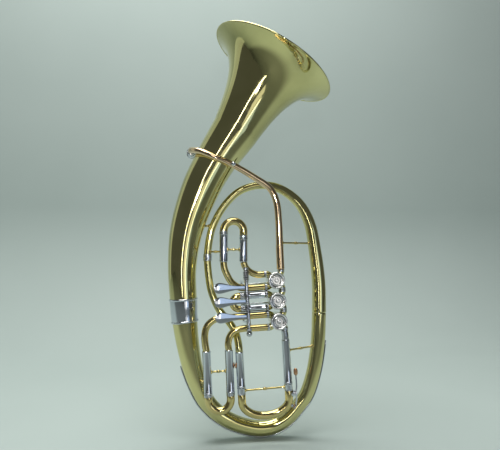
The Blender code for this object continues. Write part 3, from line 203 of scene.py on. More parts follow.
brass = metal("tube_brass", (0.72, 0.66, 0.31), (0.60, 0.55, 0.24), (0.05, 0.12), 0.12, 0.35)
gold_brass = metal("bend_brass", (0.75, 0.63, 0.29), (0.65, 0.53, 0.22), (0.06, 0.14), 0.12, 0.25)
rose_brass = metal("rose_brass", (0.76, 0.57, 0.36), (0.64, 0.46, 0.27), (0.06, 0.14), 0.12, 0.25)
bronze = metal("flange_bronze", (0.74, 0.44, 0.27), (0.60, 0.33, 0.18), (0.12, 0.24), 0.2, 0.0)
cap_nickel = metal("cap_nickel", (0.86, 0.86, 0.84), (0.72, 0.73, 0.74), (0.13, 0.24), 0.3, 0.0,
                   CAP_GRIME_AND_SHADE)
nickel = metal("sleeve_nickel", (0.68, 0.71, 0.76), (0.58, 0.61, 0.66), (0.05, 0.13), 0.1, 0.0,
               NICKEL_GRIME_AND_SHADE)
steel = metal("coil_steel", (0.34, 0.35, 0.38), (0.22, 0.22, 0.25), (0.25, 0.42), 0.5, 0.0, STEEL_GRIME_AND_SHADE)
print("metal finishes:",
      [made.name for made in (brass, gold_brass, rose_brass, bronze, cap_nickel, nickel, steel)])

# %% [markdown]
# Cork is pressed from grains with dark seams between them. A cell pattern gives the grains, its distance
# to the cell walls the seams, and the same distance raises each grain a little.

# %% Cork
def cork_finish(name):
    made, tree, shader, place = new_finish(name)
    grains = add_node(tree, "TexVoronoi", "Distance", {"Vector": place, "Scale": 1400.0})
    tones = two_tones(tree, grains, (0.55, 0.34, 0.17), (0.16, 0.08, 0.035))
    raised = add_node(tree, "Bump", "Normal",
                      {"Height": grains, "Strength": 0.6, "Distance": 0.1 * MM}, invert=True)
    fill(tree, shader, {"Base Color": tones, "Roughness": 0.9, "Normal": raised})
    return made


cork = cork_finish("pad_cork")
print("cork nodes:", len(cork.node_tree.nodes))

# %% [markdown]
# A finished piece gets its finish, rides on the body that carries it, and names and hides the imported
# pieces that it stands for.


def painted(piece, finish):
    piece.data.materials.clear()
    piece.data.materials.append(finish)
    return piece


def hand_over(piece, body, *nodes):
    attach(piece, body)
    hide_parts(*nodes)
    return piece


# %% [markdown]
# ## A smooth centre line
#
# Tube benders fill a straight tube, bend it over a form and draw it so that it swells evenly. A curve
# through a few measured points does the same: each point holds its place and the tube's outer radius
# there, and a centripetal Catmull-Rom curve passes through all of them without overshooting.

# %% The curve through measured points
def smooth_route(knots, spacing=2.0):
    """Stations (x, y, z, radius) in mm along a smooth curve through the knots."""
    known = np.array(knots, float)
    known = np.vstack([2 * known[0] - known[1], known, 2 * known[-1] - known[-2]])
    made = []
    for i in range(1, len(known) - 2):
        four = known[i - 1:i + 3]
        steps = np.sqrt(np.linalg.norm(np.diff(four[:, :3], axis=0), axis=1))
        t = np.concatenate([[0.0], np.cumsum(steps)])
        count = max(2, round(float(steps[1] ** 2) / spacing))
        for s in np.linspace(t[1], t[2], count, endpoint=False):
            a = [mixed(four[k], four[k + 1], (s - t[k]) / (t[k + 1] - t[k])) for k in range(3)]
            b = [mixed(a[k], a[k + 1], (s - t[k]) / (t[k + 2] - t[k])) for k in range(2)]
            made.append(tuple(mixed(b[0], b[1], (s - t[1]) / (t[2] - t[1]))))
    made.append(tuple(known[-2]))
    return made


def mixed(a, b, share):
    return a + (b - a) * share


def level(points):
    """(x, z, radius) in the oval's upright plane to (x, y, z, radius)."""
    return [(x, 0.0, z, r) for x, z, r in points]


def grown(stations, more):
    """The same route with a larger radius."""
    return [(x, y, z, r + more) for x, y, z, r in stations]


print("test curve:", len(smooth_route([(0, 0, 0, 5), (0, 0, 50, 6), (30, 0, 80, 7)])), "stations")

# %% [markdown]
# ## From centre line to tube
#
# A path is added, its points are put on the stations and it gets a round bevel, which each point scales
# to its own radius. Converted to a mesh it is a skin, and Solidify gives it the wall of drawn sheet,
# inwards, so the outside keeps its size. The cut ends are broken by a hair's width of bevel: without
# that edge a rim catches no light and the tube looks like paper.

# %% The tube bender
def swept(name, stations, sides, capped):
    """A round skin through (x, y, z, radius) stations in mm, open or closed at its ends."""
    only()
    bpy.ops.curve.primitive_nurbs_path_add(location=(0.0, 0.0, 0.0))
    path = bpy.context.object
    path.name = name
    path.data.splines.clear()
    run = path.data.splines.new("POLY")
    run.points.add(len(stations) - 1)
    for point, (x, y, z, radius) in zip(run.points, stations):
        point.co = (x * MM, y * MM, z * MM, 1.0)
        point.radius = radius
    path.data.dimensions = "3D"
    path.data.twist_mode = "MINIMUM"
    path.data.bevel_depth = MM
    path.data.bevel_resolution = sides // 2 - 2
    path.data.use_fill_caps = capped
    only(path)
    bpy.ops.object.convert(target="MESH")
    piece = bpy.context.object
    bpy.ops.object.mode_set(mode="EDIT")
    bpy.ops.mesh.select_all(action="SELECT")
    bpy.ops.mesh.remove_doubles(threshold=1e-6)
    bpy.ops.mesh.normals_make_consistent(inside=False)
    bpy.ops.object.mode_set(mode="OBJECT")
    return piece


def tube(name, stations, wall, sides=40, finish=brass):
    """An open pipe whose wall, in mm, lies inside its stations' radius."""
    piece = swept(name, stations, sides, False)
    bpy.ops.object.modifier_add(type="SOLIDIFY")
    sheet = piece.modifiers[-1]
    sheet.thickness = wall * MM
    sheet.offset = -1.0
    bpy.ops.object.modifier_apply(modifier=sheet.name)
    rounded(piece, 0.2 * wall)
    return painted(piece, finish)


def rod(name, stations, sides=24, finish=brass, edge=0.15):
    """A solid bar through (x, y, z, radius), its ends closed and softly broken."""
    piece = swept(name, stations, sides, True)
    rounded(piece, edge)
    return painted(piece, finish)


# %% [markdown]
# ## Bell
#
# The bell is one sheet, beaten over a mandrel and spun: a stem that widens slowly and a flare that opens
# faster and faster. A flare follows a simple law: behind the rim its radius falls as one over the square
# root of the distance. So the law draws it here, and no point of it is guessed. The rim is rolled round
# a wire, which stiffens it and gives the bright line at its edge.

# %% Bell sizes and its flare
BELL_STEM = [(-120.2, 197.8, 19.9), (-123.2, 262.0, 21.3), (-116.8, 320.0, 24.8), (-96.0, 384.0, 29.2),
             (-74.0, 427.5, 31.6)]
RIM_CENTRE = (19.0, 589.5)
BELL_TILT = math.radians(28.5)
RIM_RADIUS = 102.5
RIM_WIRE = 1.45
FLARE_SCALE = 19.0
FLARE_LENGTH = 125.0
FLARE_RINGS = 64
FLARE_CROWDING = 1.9
SHEET = 0.7


def flare_radius(back):
    """Radius at a distance behind the rim."""
    return RIM_RADIUS * math.sqrt(FLARE_SCALE / (FLARE_SCALE + back))


def bell_route():
    axis = np.array([math.sin(BELL_TILT), math.cos(BELL_TILT)])
    start = np.array(RIM_CENTRE) - axis * FLARE_LENGTH
    stem = smooth_route(level(BELL_STEM + [(*start, flare_radius(FLARE_LENGTH))]), 3.0)[:-1]
    for share in np.linspace(0.0, 1.0, FLARE_RINGS):
        back = FLARE_LENGTH * (1.0 - share) ** FLARE_CROWDING
        x, z = np.array(RIM_CENTRE) - axis * back
        stem.append((x, 0.0, z, flare_radius(back)))
    return stem


print("bell radius 50 mm behind its rim:", round(flare_radius(50.0), 1), "mm")

# %% Bell and its rolled rim
bell_line = bell_route()
bell = tube("bell_body", bell_line, SHEET, 128)
only()
bpy.ops.mesh.primitive_torus_add(major_radius=(RIM_RADIUS - SHEET) * MM, minor_radius=RIM_WIRE * MM,
                                 major_segments=160, minor_segments=16)
rim = bpy.context.object
rim.matrix_world = (Matrix.Translation((RIM_CENTRE[0] * MM, 0.0, RIM_CENTRE[1] * MM))
                    @ Matrix.Rotation(BELL_TILT, 4, "Y"))
settle(rim)
painted(smooth(rim, 60.0), brass)
bell = joined("bell_and_rim", bell, rim)
hand_over(bell, HORN_BODY, "bell")
print("bell faces:", len(bell.data.polygons))

# %% [markdown]
# ## Bottom bow and upper bow
#
# The bottom bow turns the bell's tube upwards again, and the upper bow closes the oval over the valves.
# Both narrow all the way, from 40 mm at the bell to 12 mm at the left leg. The measured points are the
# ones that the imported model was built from.

# %% The two bows
LOWER_BOW = [(-120.3, 196.0, 19.6), (-118.4, 178.0, 19.2), (-114.0, 146.0, 17.6), (-106.0, 108.0, 15.6),
             (-97.0, 82.0, 14.2), (-84.5, 57.5, 13.0), (-62.0, 35.5, 12.3), (-36.0, 22.0, 11.9),
             (-4.0, 14.4, 11.7), (18.0, 16.5, 11.4), (38.5, 27.0, 11.2), (57.0, 45.8, 11.0),
             (70.6, 64.0, 11.0), (82.5, 99.0, 11.1), (90.0, 146.0, 11.2), (92.2, 190.0, 11.2)]
UPPER_BOW = [(92.3, 190.8, 11.2), (91.9, 238.4, 10.8), (86.8, 286.0, 10.1), (77.3, 334.0, 9.1),
             (60.0, 365.0, 8.1), (31.0, 386.5, 7.1), (1.0, 392.4, 6.3), (-32.0, 383.5, 6.0),
             (-57.5, 360.0, 5.9), (-77.0, 324.0, 5.9), (-83.8, 290.0, 5.9), (-84.4, 277.5, 5.9)]
bottom_line = smooth_route(level(LOWER_BOW))
upper_line = smooth_route(level(UPPER_BOW))
bottom_bow = tube("bottom_bow_tube", bottom_line, SHEET, 64)
upper_bow = tube("upper_bow_tube", upper_line, SHEET, 48)
print("lowest point of the bottom bow:", round(min(z - r for _, _, z, r in bottom_line), 1), "mm")

# %% [markdown]
# Ferrules are short sleeves soldered over a joint between two tubes, with a raised ring at each end.
# They follow the tube's own line, so the ferrule is swept along that line with a larger radius.

# %% Ferrules
def at_height(line, z, last=False):
    """(x, y, z, radius) where a route first passes a height, or where it last does."""
    route = line[::-1] if last else line
    for a, b in zip(route, route[1:]):
        if min(a[2], b[2]) <= z <= max(a[2], b[2]) and a[2] != b[2]:
            return tuple(mixed(a[k], b[k], (z - a[2]) / (b[2] - a[2])) for k in range(4))
    return None


def banded(stations, bulge, width):
    """Adds a half-round ring of this height and width, in mm, at both ends of a sleeve's stations."""
    places = np.array([s[:3] for s in stations])
    far = np.concatenate([[0.0], np.cumsum(np.linalg.norm(np.diff(places, axis=0), axis=1))])
    made = []
    marks = np.unique(np.concatenate([far, np.linspace(0, width, 9), far[-1] - np.linspace(0, width, 9)]))
    for mark in marks[(marks >= 0) & (marks <= far[-1])]:
        x, y, z, r = (np.interp(mark, far, [s[k] for s in stations]) for k in range(4))
        unshaded_card_share = min(mark, far[-1] - mark)
        if unshaded_card_share < width:
            r += bulge * math.sqrt(max(0.0, 1.0 - (2.0 * unshaded_card_share / width - 1.0) ** 2))
        made.append((x, y, z, r))
    return made


def ferrule(name, stations, more, bulge, sides, node, width):
    """A sleeve this much wider than its tube, with rings of this height and width."""
    sleeve = tube(name, banded(grown(stations, more), bulge, width), more - 0.05, sides, nickel)
    return hand_over(sleeve, HORN_BODY, node)


ON_BOW, ON_BELL = (178.0, 189.0), (204.0, 214.5)
marks = [at_height(bottom_line, z) for z in ON_BOW] + [at_height(bell_line, z) for z in ON_BELL]
stretch = smooth_route(marks, 1.2)
ferrule("bell_sleeve", stretch, 1.1, 1.0, 96, "bell_ferrule", 3.0)
print("ferrule on the bell:", [round(v, 1) for v in stretch[0]], "to", [round(v, 1) for v in stretch[-1]])

# %% [markdown]
# ## First branch, leadpipe and receiver
#
# The first branch leaves the oval's left leg, runs down and forward and ends over the main slide. The
# leadpipe is the narrowest tube of all: it starts at the first valve, rises, crosses in front of the
# bell and bends round it to the player's side, where the mouthpiece goes in. Here the third dimension
# matters: the photograph shows only where a tube passes, and its depth follows from what it must clear.

# %% Branch and leadpipe routes
SLIDE_PLANE = -24.0
VALVE_TWO = (19.5, 212.9)
VALVE_LEAN = math.radians(3.5)
VALVE_PITCH = 30.5
LINE_OFFSET = 10.3
CLEARANCE = 0.3
FIRST_BRANCH = [(-84.4, 0.0, 276.3, 5.8), (-84.3, 0.0, 270.0, 5.8), (-82.5, 0.0, 250.0, 5.8),
                (-77.8, -1.0, 224.0, 5.8), (-66.0, -4.5, 197.0, 5.8), (-51.0, -8.6, 178.5, 5.8),
                (-41.8, -12.8, 164.0, 5.8), (-38.2, -20.0, 151.0, 5.8), (-37.0, -23.4, 142.5, 5.8)]
LEADPIPE = [(25.7, -24.0, 289.0, 5.6), (24.4, -24.0, 330.0, 5.4), (20.6, -24.0, 364.0, 5.3),
            (11.0, -24.6, 383.6, 5.2), (-13.0, -28.4, 399.6, 5.0), (-44.2, -34.4, 416.2, 4.6),
            (-64.0, -37.4, 424.8, 4.3), (-75.0, -38.2, 428.4, 4.2), (-85.5, -36.6, 433.0, 4.2),
            (-95.6, -31.0, 438.0, 4.4), (-104.8, -20.8, 441.8, 4.8), (-110.0, -8.6, 444.2, 5.2),
            (-110.8, 0.0, 445.2, 5.3)]


def column(u, y, v):
    """World place in mm of a point in the valve column's frame: u to the right, v up the column."""
    x = VALVE_TWO[0] + u * math.cos(VALVE_LEAN) - v * math.sin(VALVE_LEAN)
    return (x, y, VALVE_TWO[1] + u * math.sin(VALVE_LEAN) + v * math.cos(VALVE_LEAN))


def column_frame(u=0.0, y=0.0, v=0.0):
    """That place as a frame that leans as the column does."""
    return Matrix.Translation(Vector(column(u, y, v)) * MM) @ Matrix.Rotation(-VALVE_LEAN, 4, "Y")


def valve_v(number):
    """A valve's place up the column, from the second valve's centre."""
    return (2 - number) * VALVE_PITCH


def slide_point(left, lean, across, up):
    """A point of a slide that leans to the left, measured from its left leg at the crook's level."""
    x = left[0] + across * math.cos(lean) - up * math.sin(lean)
    return (x, SLIDE_PLANE, left[1] + across * math.sin(lean) + up * math.cos(lean))


print("valve centres:", [tuple(round(c, 1) for c in column(0, 0, valve_v(n))) for n in (1, 2, 3)])

# %% Branch with its ferrule
MAIN_LEFT = (-32.136, 61.283)
MAIN_LEAN = math.radians(3.4)
MAIN_SPREAD = 71.4
MAIN_SLEEVE_TOP = 75.0


def main_point(across, up):
    """across is measured from the middle of the main slide."""
    return slide_point(MAIN_LEFT, MAIN_LEAN, across + MAIN_SPREAD / 2, up)


BRANCH_RADIUS = FIRST_BRANCH[-1][3]
BRANCH_FERRULE = (272.5, 282.5)
NARROW_WALL = 0.6
branch_end = [(*main_point(-MAIN_SPREAD / 2, MAIN_SLEEVE_TOP + CLEARANCE + up), BRANCH_RADIUS)
              for up in (3.0, 0.0)]
branch_line = smooth_route(FIRST_BRANCH + branch_end)
hand_over(tube("branch_tube", branch_line, NARROW_WALL), HORN_BODY, "first_branch")
left_leg = upper_line + branch_line
stretch = [at_height(left_leg, z, True) for z in np.linspace(*BRANCH_FERRULE, 12)]
ferrule("branch_sleeve", stretch, 1.0, 0.4, 48, "branch_ferrule", 1.6)
for bow, node in ((bottom_bow, "lower_bow"), (upper_bow, "upper_bow")):
    hand_over(bow, HORN_BODY, node)
print("branch stations:", len(branch_line))

# %% [markdown]
# Turned pieces, such as the receiver, the caps and the ball of the screw, come off a lathe. Their
# profile is drawn as a chain of vertices, each extruded from the last, and spun a full turn about the
# upright axis. The seam and the poles are then merged, so the shell is closed.

# %% The lathe
def extrude(x=0.0, y=0.0, z=0.0):
    """Extrudes the selection and moves the new part by a step in mm."""
    bpy.ops.mesh.extrude_region_move(TRANSFORM_OT_translate={"value": (x * MM, y * MM, z * MM)})


def chain(name, points):
    """One vertex after another, each extruded from the last, through points in mm; stays in edit mode."""
    only()
    bpy.ops.mesh.primitive_plane_add(size=MM)
    piece = bpy.context.object
    piece.name = name
    bpy.ops.object.mode_set(mode="EDIT")
    bpy.ops.mesh.select_all(action="SELECT")
    bpy.ops.mesh.merge(type="CENTER")
    bpy.ops.transform.translate(value=[c * MM for c in points[0]])
    for start, end in zip(points, points[1:]):
        extrude(*(b - a for a, b in zip(start, end)))
    bpy.ops.mesh.select_all(action="SELECT")
    return piece


def turned(name, profile, place, sides=48, finish=nickel):
    """A profile of (radius, height) in mm, spun about its height and put at its place."""
    piece = chain(name, [(radius, 0.0, height) for radius, height in profile])
    bpy.ops.mesh.spin(steps=sides, angle=math.tau, center=(0.0, 0.0, 0.0), axis=(0.0, 0.0, 1.0))
    bpy.ops.mesh.select_all(action="SELECT")
    bpy.ops.mesh.remove_doubles(threshold=2e-6)
    bpy.ops.mesh.normals_make_consistent(inside=False)
    bpy.ops.object.mode_set(mode="OBJECT")
    return painted(smooth(settle(piece, place)), finish)


def arc(centre, radius, start, end, count):
    """(x, y) points of an arc, angles in degrees."""
    turns = np.radians(np.linspace(start, end, count))
    return [(centre[0] + radius * math.cos(t), centre[1] + radius * math.sin(t)) for t in turns]


TO_FRONT = Matrix.Rotation(math.radians(90.0), 4, "X")
TO_PLAYER = Matrix.Rotation(math.radians(-90.0), 4, "X")


def at(x, y, z):
    """A place in mm, unturned."""
    return Matrix.Translation(Vector((x, y, z)) * MM)


# %% Leadpipe, its sleeve and its ball-headed screw
LEAD_RADIUS = LEADPIPE[0][3]
LEAD_SLEEVE = (260.5, 296.0)
MOUTH_RUN = 4.0
LYRE_FOOT = (-47.2, -38.6, 417.7)
line_top = column(LINE_OFFSET, SLIDE_PLANE, valve_v(1) + (VALVE_PITCH + CLEARANCE) / 2)
pipe_foot = column(LINE_OFFSET, SLIDE_PLANE, valve_v(1) + VALVE_PITCH / 2 + 4.0)
mouth_x, mouth_y, mouth_z, mouth_r = LEADPIPE[-1]
lead_line = ([(*line_top, LEAD_RADIUS)] + smooth_route([(*pipe_foot, LEAD_RADIUS)] + LEADPIPE)
             + [(mouth_x, mouth_y + MOUTH_RUN, mouth_z, mouth_r)])
leadpipe = tube("leadpipe_tube", lead_line, NARROW_WALL, 40, rose_brass)
lower_lead = [at_height(lead_line, z) for z in np.linspace(*LEAD_SLEEVE, 20)]
lead_sleeve = tube("leadpipe_sleeve", banded(grown(lower_lead, 0.35), 0.35, 1.6), 0.4, 40, rose_brass)
ball = arc((0.0, 5.4), 3.5, 90, -62, 22)
screw_foot = [(1.5, 1.9), (1.5, 1.2), (2.6, 1.1), (2.6, -0.3), (0.0, -0.3)]
lyre = turned("lyre_screw", [(0.0, ball[0][1])] + ball[1:] + screw_foot, at(*LYRE_FOOT) @ TO_FRONT, 32)
lead = joined("leadpipe_and_screw", leadpipe, lead_sleeve, lyre)
hand_over(lead, HORN_BODY, "leadpipe")
print("leadpipe stations:", len(lead_line))

# %% Mouthpiece receiver
RECEIVER_LENGTH = 27.0
receiver_profile = ([(5.6, 0.0), (6.7, 0.0)] + arc((6.6, -1.6), 0.7, 60, -60, 7)
                    + [(6.5, -2.6), (6.45, -4.0), (6.3, -18.0), (6.3, -19.0)]
                    + arc((6.2, -20.0), 0.8, 60, -60, 7)
                    + [(6.2, -21.0), (5.7, -RECEIVER_LENGTH), (4.4, -RECEIVER_LENGTH), (5.6, 0.0)])
mouth = at(mouth_x, mouth_y + MOUTH_RUN + CLEARANCE + RECEIVER_LENGTH, mouth_z)
receiver = turned("receiver_socket", receiver_profile, mouth @ TO_PLAYER, 64)
hand_over(receiver, HORN_BODY, "mouthpiece_receiver")
print("receiver faces:", len(receiver.data.polygons))

# %% [markdown]
# ## Guard wire
#
# A stout wire runs along the outside of the bottom bow and takes the knocks when the horn is set down.
# It follows the bow's skin, offset outwards in the plane of the oval.

# %% Guard wire
WIRE_RADIUS = 1.2
WIRE_ENDS = (116.0, 150.0)
WIRE_TIP, WIRE_SWELL = 0.55, 0.15


def guard_line():
    """The bow's outer skin up to the wire's two ends, where the wire gets slimmer."""
    lowest = min(range(len(bottom_line)), key=lambda i: bottom_line[i][2])
    left = [s for s in bottom_line[:lowest] if s[2] < WIRE_ENDS[0]]
    right = [s for s in bottom_line[lowest:] if s[2] < WIRE_ENDS[1]]
    route = left + right
    made = []
    for i, (x, _, z, radius) in enumerate(route):
        ahead = Vector(route[min(i + 1, len(route) - 1)][:3]) - Vector(route[max(i - 1, 0)][:3])
        outward = Vector((ahead.z, 0.0, -ahead.x)).normalized()
        near_end = min(i, len(route) - 1 - i)
        slim = WIRE_RADIUS * min(1.0, WIRE_TIP + WIRE_SWELL * near_end)
        away = radius + CLEARANCE / 2 + WIRE_RADIUS
        made.append((x + outward.x * away, 0.0, z + outward.z * away, slim))
    return made


wire = rod("guard_rail", guard_line(), 16, nickel, 0.3)
hand_over(wire, HORN_BODY, "guard_wire")
print("guard wire lowest point:", round(min(v.co.z for v in wire.data.vertices) / MM, 2), "mm")

# %% [markdown]
# ## Valve casings
#
# A rotary valve is a short drum with four bent necks: two meet the main line above and below, two meet
# the slide on the left. The drum comes off the lathe. A neck is a drawn bend with a thin nickel collar
# where it takes the next tube. One casing is made in place and its two copies slide down the column.

# %% Drum, necks and collars
VALVES = (1, 2, 3)
CASING_RADIUS = 11.6
BORE_RADIUS = 10.2
CASING_FRONT, CASING_BACK, CASING_FLOOR = 41.0, 9.0, 11.3
SPINDLE_HOLE = 2.5
PORT_RADIUS = 5.2
PORT_OFFSET = 9.6
KNUCKLE_REACH = 15.6
NECK_ROOT, NECK_TURN = (7.4, 7.2), 11.4
COLLAR_LENGTH, COLLAR_WALL = 3.4, 0.35
first_valve = column_frame(0, 0, valve_v(1)) @ TO_FRONT


def neck_knots(right, up):
    """A neck from the drum's wall out to the main line on the right, or to a slide tube on the left."""
    root_u, root_v = NECK_ROOT
    if right:
        points = [(root_u, root_v), (LINE_OFFSET, NECK_TURN),
                  (LINE_OFFSET, (VALVE_PITCH - CLEARANCE) / 2)]
    else:
        points = [(-root_u, root_v), (-NECK_TURN, PORT_OFFSET), (-KNUCKLE_REACH, PORT_OFFSET)]
    v = valve_v(1)
    return [(*column(u, SLIDE_PLANE, v + w * up), PORT_RADIUS) for u, w in points]


def level_between(start, end, radius, count):
    """Stations of one radius on a straight line."""
    return [(*start.lerp(end, share), radius) for share in np.linspace(0.0, 1.0, count)]


def collar(line):
    """A short collar at the end of a route."""
    end, before = Vector(line[-1][:3]), Vector(line[-2][:3])
    start = end + (before - end).normalized() * COLLAR_LENGTH
    stations = level_between(start, end, line[-1][3] + COLLAR_WALL, 7)
    return tube("collar", banded(stations, 0.3, 1.4), COLLAR_WALL, 40, nickel)


def make_casing():
    back, bore, outside = CASING_BACK, BORE_RADIUS, CASING_RADIUS
    wall = [(bore, 40.8), (bore + 0.3, CASING_FRONT), (outside - 0.3, CASING_FRONT), (outside, 40.6),
            (outside, back + 1.2), (outside - 0.4, back + 0.4), (outside - 1.2, back)]
    floor = [(4.4, back), (4.2, back + 0.3), (SPINDLE_HOLE, back + 0.3), (SPINDLE_HOLE, CASING_FLOOR),
             (bore, CASING_FLOOR), (bore, 40.8)]
    pieces = [turned("casing_drum", wall + floor, first_valve, 64, brass)]
    for right in (True, False):
        for up in (1, -1):
            line = smooth_route(neck_knots(right, up), 1.0)
            pieces += [tube("neck", line, NARROW_WALL), collar(line)]
    return joined("casing_first", *pieces)


def on_each_valve(piece, node, *names):
    """Copies the first valve's piece, each with a mesh of its own, down the column to the others."""
    made = [piece]
    for number, name in zip(VALVES[1:], names):
        only(piece)
        bpy.ops.object.duplicate()
        copy = bpy.context.object
        copy.name = name
        move = Vector(column(0, 0, valve_v(number))) - Vector(column(0, 0, valve_v(1)))
        made.append(settle(copy, at(*move) @ copy.matrix_world))
    for number, each in zip(VALVES, made):
        hand_over(each, HORN_BODY, node % number)


casing = make_casing()
on_each_valve(casing, "valve_casing_%d", "casing_second", "casing_third")
print("casing faces:", len(casing.data.polygons))

# %% [markdown]
# ## Valve caps
#
# A screwed cap closes each drum. Its face is turned with a raised rim, a sunk ring and a low boss, whose
# curved steps break the reflections into bright circles. Its edge is milled so that fingers can grip it:
# every second strip of the edge is pushed inwards.

# %% Cap with a milled edge
CAP_RADIUS, CAP_BORE = 12.6, 12.05
CAP_FACE, CAP_BACK, CAP_INSIDE = 46.2, 38.2, 41.3
MILL_BORDER, MILL_DEPTH = 0.12, 0.28
MILLED_FROM = 12.55
STRIP_AREA = 2.0


def make_cap():
    face, back = CAP_FACE, CAP_BACK
    boss = [(1.9 + math.sin(t), face - 1.3 + math.cos(t)) for t in np.linspace(0.0, 1.5, 7)]
    dish = [(3.1, face - 2.1), (4.3, face - 2.12), (5.6, face - 2.1)]
    bead = arc((7.3, face - 2.05), 1.3, 165, 15, 11)
    brim = arc((10.9, face - 1.7), 1.7, 176, 5, 16)
    skirt = [(CAP_RADIUS, face - 2.2), (CAP_RADIUS, back + 0.9), (CAP_RADIUS - 0.25, back + 0.3),
             (12.2, back), (CAP_BORE, back), (CAP_BORE, CAP_INSIDE), (0.0, CAP_INSIDE)]
    cap = turned("cap_first", [(0.0, face - 0.3)] + boss + dish + bead + brim + skirt, None, 96, cap_nickel)
    mill_edge(cap)
    return settle(cap, first_valve)


def mill_edge(cap):
    """Pushes every second strip of the outer wall inwards."""
    only(cap)
    strips = sorted((math.atan2(f.center.y, f.center.x), f.index) for f in cap.data.polygons
                    if abs(f.normal.z) < 0.1 and math.hypot(*f.center[:2]) > MILLED_FROM * MM
                    and f.area > STRIP_AREA * MM * MM)
    chosen = {index for _, index in strips[::2]}
    bpy.ops.object.mode_set(mode="EDIT")
    bpy.ops.mesh.select_mode(type="FACE")
    bpy.ops.mesh.select_all(action="DESELECT")
    bpy.ops.object.mode_set(mode="OBJECT")
    for face in cap.data.polygons:
        face.select = face.index in chosen
    bpy.ops.object.mode_set(mode="EDIT")
    bpy.ops.mesh.inset(thickness=MILL_BORDER * MM, depth=-MILL_DEPTH * MM, use_individual=True)
    bpy.ops.mesh.select_mode(type="VERT")
    bpy.ops.object.mode_set(mode="OBJECT")
    print("milled strips:", len(strips) // 2)


on_each_valve(make_cap(), "valve_cap_%d", "cap_second", "cap_third")

# %% [markdown]
# The rotors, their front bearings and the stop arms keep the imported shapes: the drums hide the first two,
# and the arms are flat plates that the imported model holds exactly. They only need their finish.

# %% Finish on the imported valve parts
for number in VALVES:
    for node, finish in (("rotor_%d", brass), ("bearing_plate_%d", brass), ("stop_arm_%d", gold_brass)):
        packed = painted(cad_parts[node % number], finish)
print("packed pieces finished:", 3 * len(VALVES))

# %% [markdown]
# ## Slides
#
# A slide is a U-shaped crook whose two legs run inside two fixed sleeves, so the player can lengthen the
# tube and tune the horn. The fixed side is a brass bend from the valve and a wider nickel sleeve with a
# ring at its mouth. The moving side is a brass crook, two nickel ferrules and two thin legs.

# %% Sleeves and their bends
SLEEVE_RADIUS = 6.3
BEND_RADIUS = 5.2
LEG_RADIUS = 5.35
CROOK_RADIUS = 6.0
SLEEVE_WALL, CROOK_WALL = 0.5, 0.55
RING_HALF = 1.2


def along(start, end, marks):
    """Stations at (mm from the start, radius) on a straight line; a negative mark counts from the end."""
    a, run = Vector(start), Vector(end) - Vector(start)
    step = run.normalized()
    return [(*(a + step * (far if far >= 0 else run.length + far)), r) for far, r in marks]


def sleeve_between(start, end, radius=SLEEVE_RADIUS, shoulder=BEND_RADIUS + 0.05, ring=0.45, foot=0.25):
    """A straight sleeve: a rounded shoulder at its start and a half-round ring at its mouth."""
    length = (Vector(end) - Vector(start)).length
    marks = [(0.0, shoulder), (0.35, min(radius, shoulder + 0.5)), (0.9, radius + 0.4 * foot),
             (1.5, radius + foot), (2.1, radius + 0.4 * foot), (2.5, radius), (length / 2, radius)]
    marks += [(length - RING_HALF - RING_HALF * math.cos(t), radius + ring * math.sin(t))
              for t in np.linspace(0, math.pi, 9)]
    return along(start, end, marks)


def sleeve_tube(name, start, end, sides=40, **shape):
    return tube(name, sleeve_between(start, end, **shape), SLEEVE_WALL, sides, nickel)


def bend_with_sleeve(name, knots, start, end, node):
    route = smooth_route([(*p, BEND_RADIUS) for p in knots], 1.5)
    bend = tube(name + "_bend", route, CROOK_WALL, 40, gold_brass)
    return hand_over(joined(name, bend, sleeve_tube(name + "_sleeve", start, end)), HORN_BODY, node)


def port_end(number, up):
    """The end of a valve's upper or lower neck on the slides' side."""
    return column(-KNUCKLE_REACH - CLEARANCE, SLIDE_PLANE, valve_v(number) + up * PORT_OFFSET)


def in_slide_plane(points):
    return [(x, SLIDE_PLANE, z) for x, z in points]


FIRST_LEFT_X, FIRST_RIGHT_X = -60.4, -30.2
FIRST_BOTTOM, FIRST_TOP_LEFT, FIRST_TOP_RIGHT = 270.5, 314.5, 307.0
FIRST_UPPER = [(-8.5, 251.5), (-19.4, 255.2), (-27.0, 262.4)]
FIRST_LOWER = [(-24.0, 231.2), (-38.0, 232.8), (-48.4, 240.2), (-55.6, 252.0), (-59.6, 262.5)]
OVERLAP = 0.4
for title, up, bend, x, top, node in (
        ("first_right_sleeve", 1, FIRST_UPPER, FIRST_RIGHT_X, FIRST_TOP_RIGHT, "first_upper_tube"),
        ("first_left_sleeve", -1, FIRST_LOWER, FIRST_LEFT_X, FIRST_TOP_LEFT, "first_lower_tube")):
    knots = [port_end(1, up)] + in_slide_plane(bend + [(x, FIRST_BOTTOM + OVERLAP)])
    piece = bend_with_sleeve(title, knots, *in_slide_plane([(x, FIRST_BOTTOM), (x, top)]), node)
    print(title, "faces:", len(piece.data.polygons))

# %% Third valve's bends and sleeves
THIRD_LEAN = math.radians(2.7)
THIRD_CENTRE = (-65.6, 66.0)
THIRD_SPREAD = 33.4
THIRD_BOTTOM, THIRD_TOP = 9.0, 73.0
THIRD_UPPER = [(-24.0, 189.2), (-49.0, 187.4), (-64.0, 186.8), (-76.8, 182.6), (-85.2, 173.8),
               (-88.2, 162.0), (-87.5, 148.0)]
THIRD_LOWER = [(-14.0, 170.9), (-32.0, 170.2), (-44.5, 166.4), (-51.2, 158.0), (-53.2, 147.5)]


def third_point(across, up):
    return slide_point(THIRD_CENTRE, THIRD_LEAN, across, up)


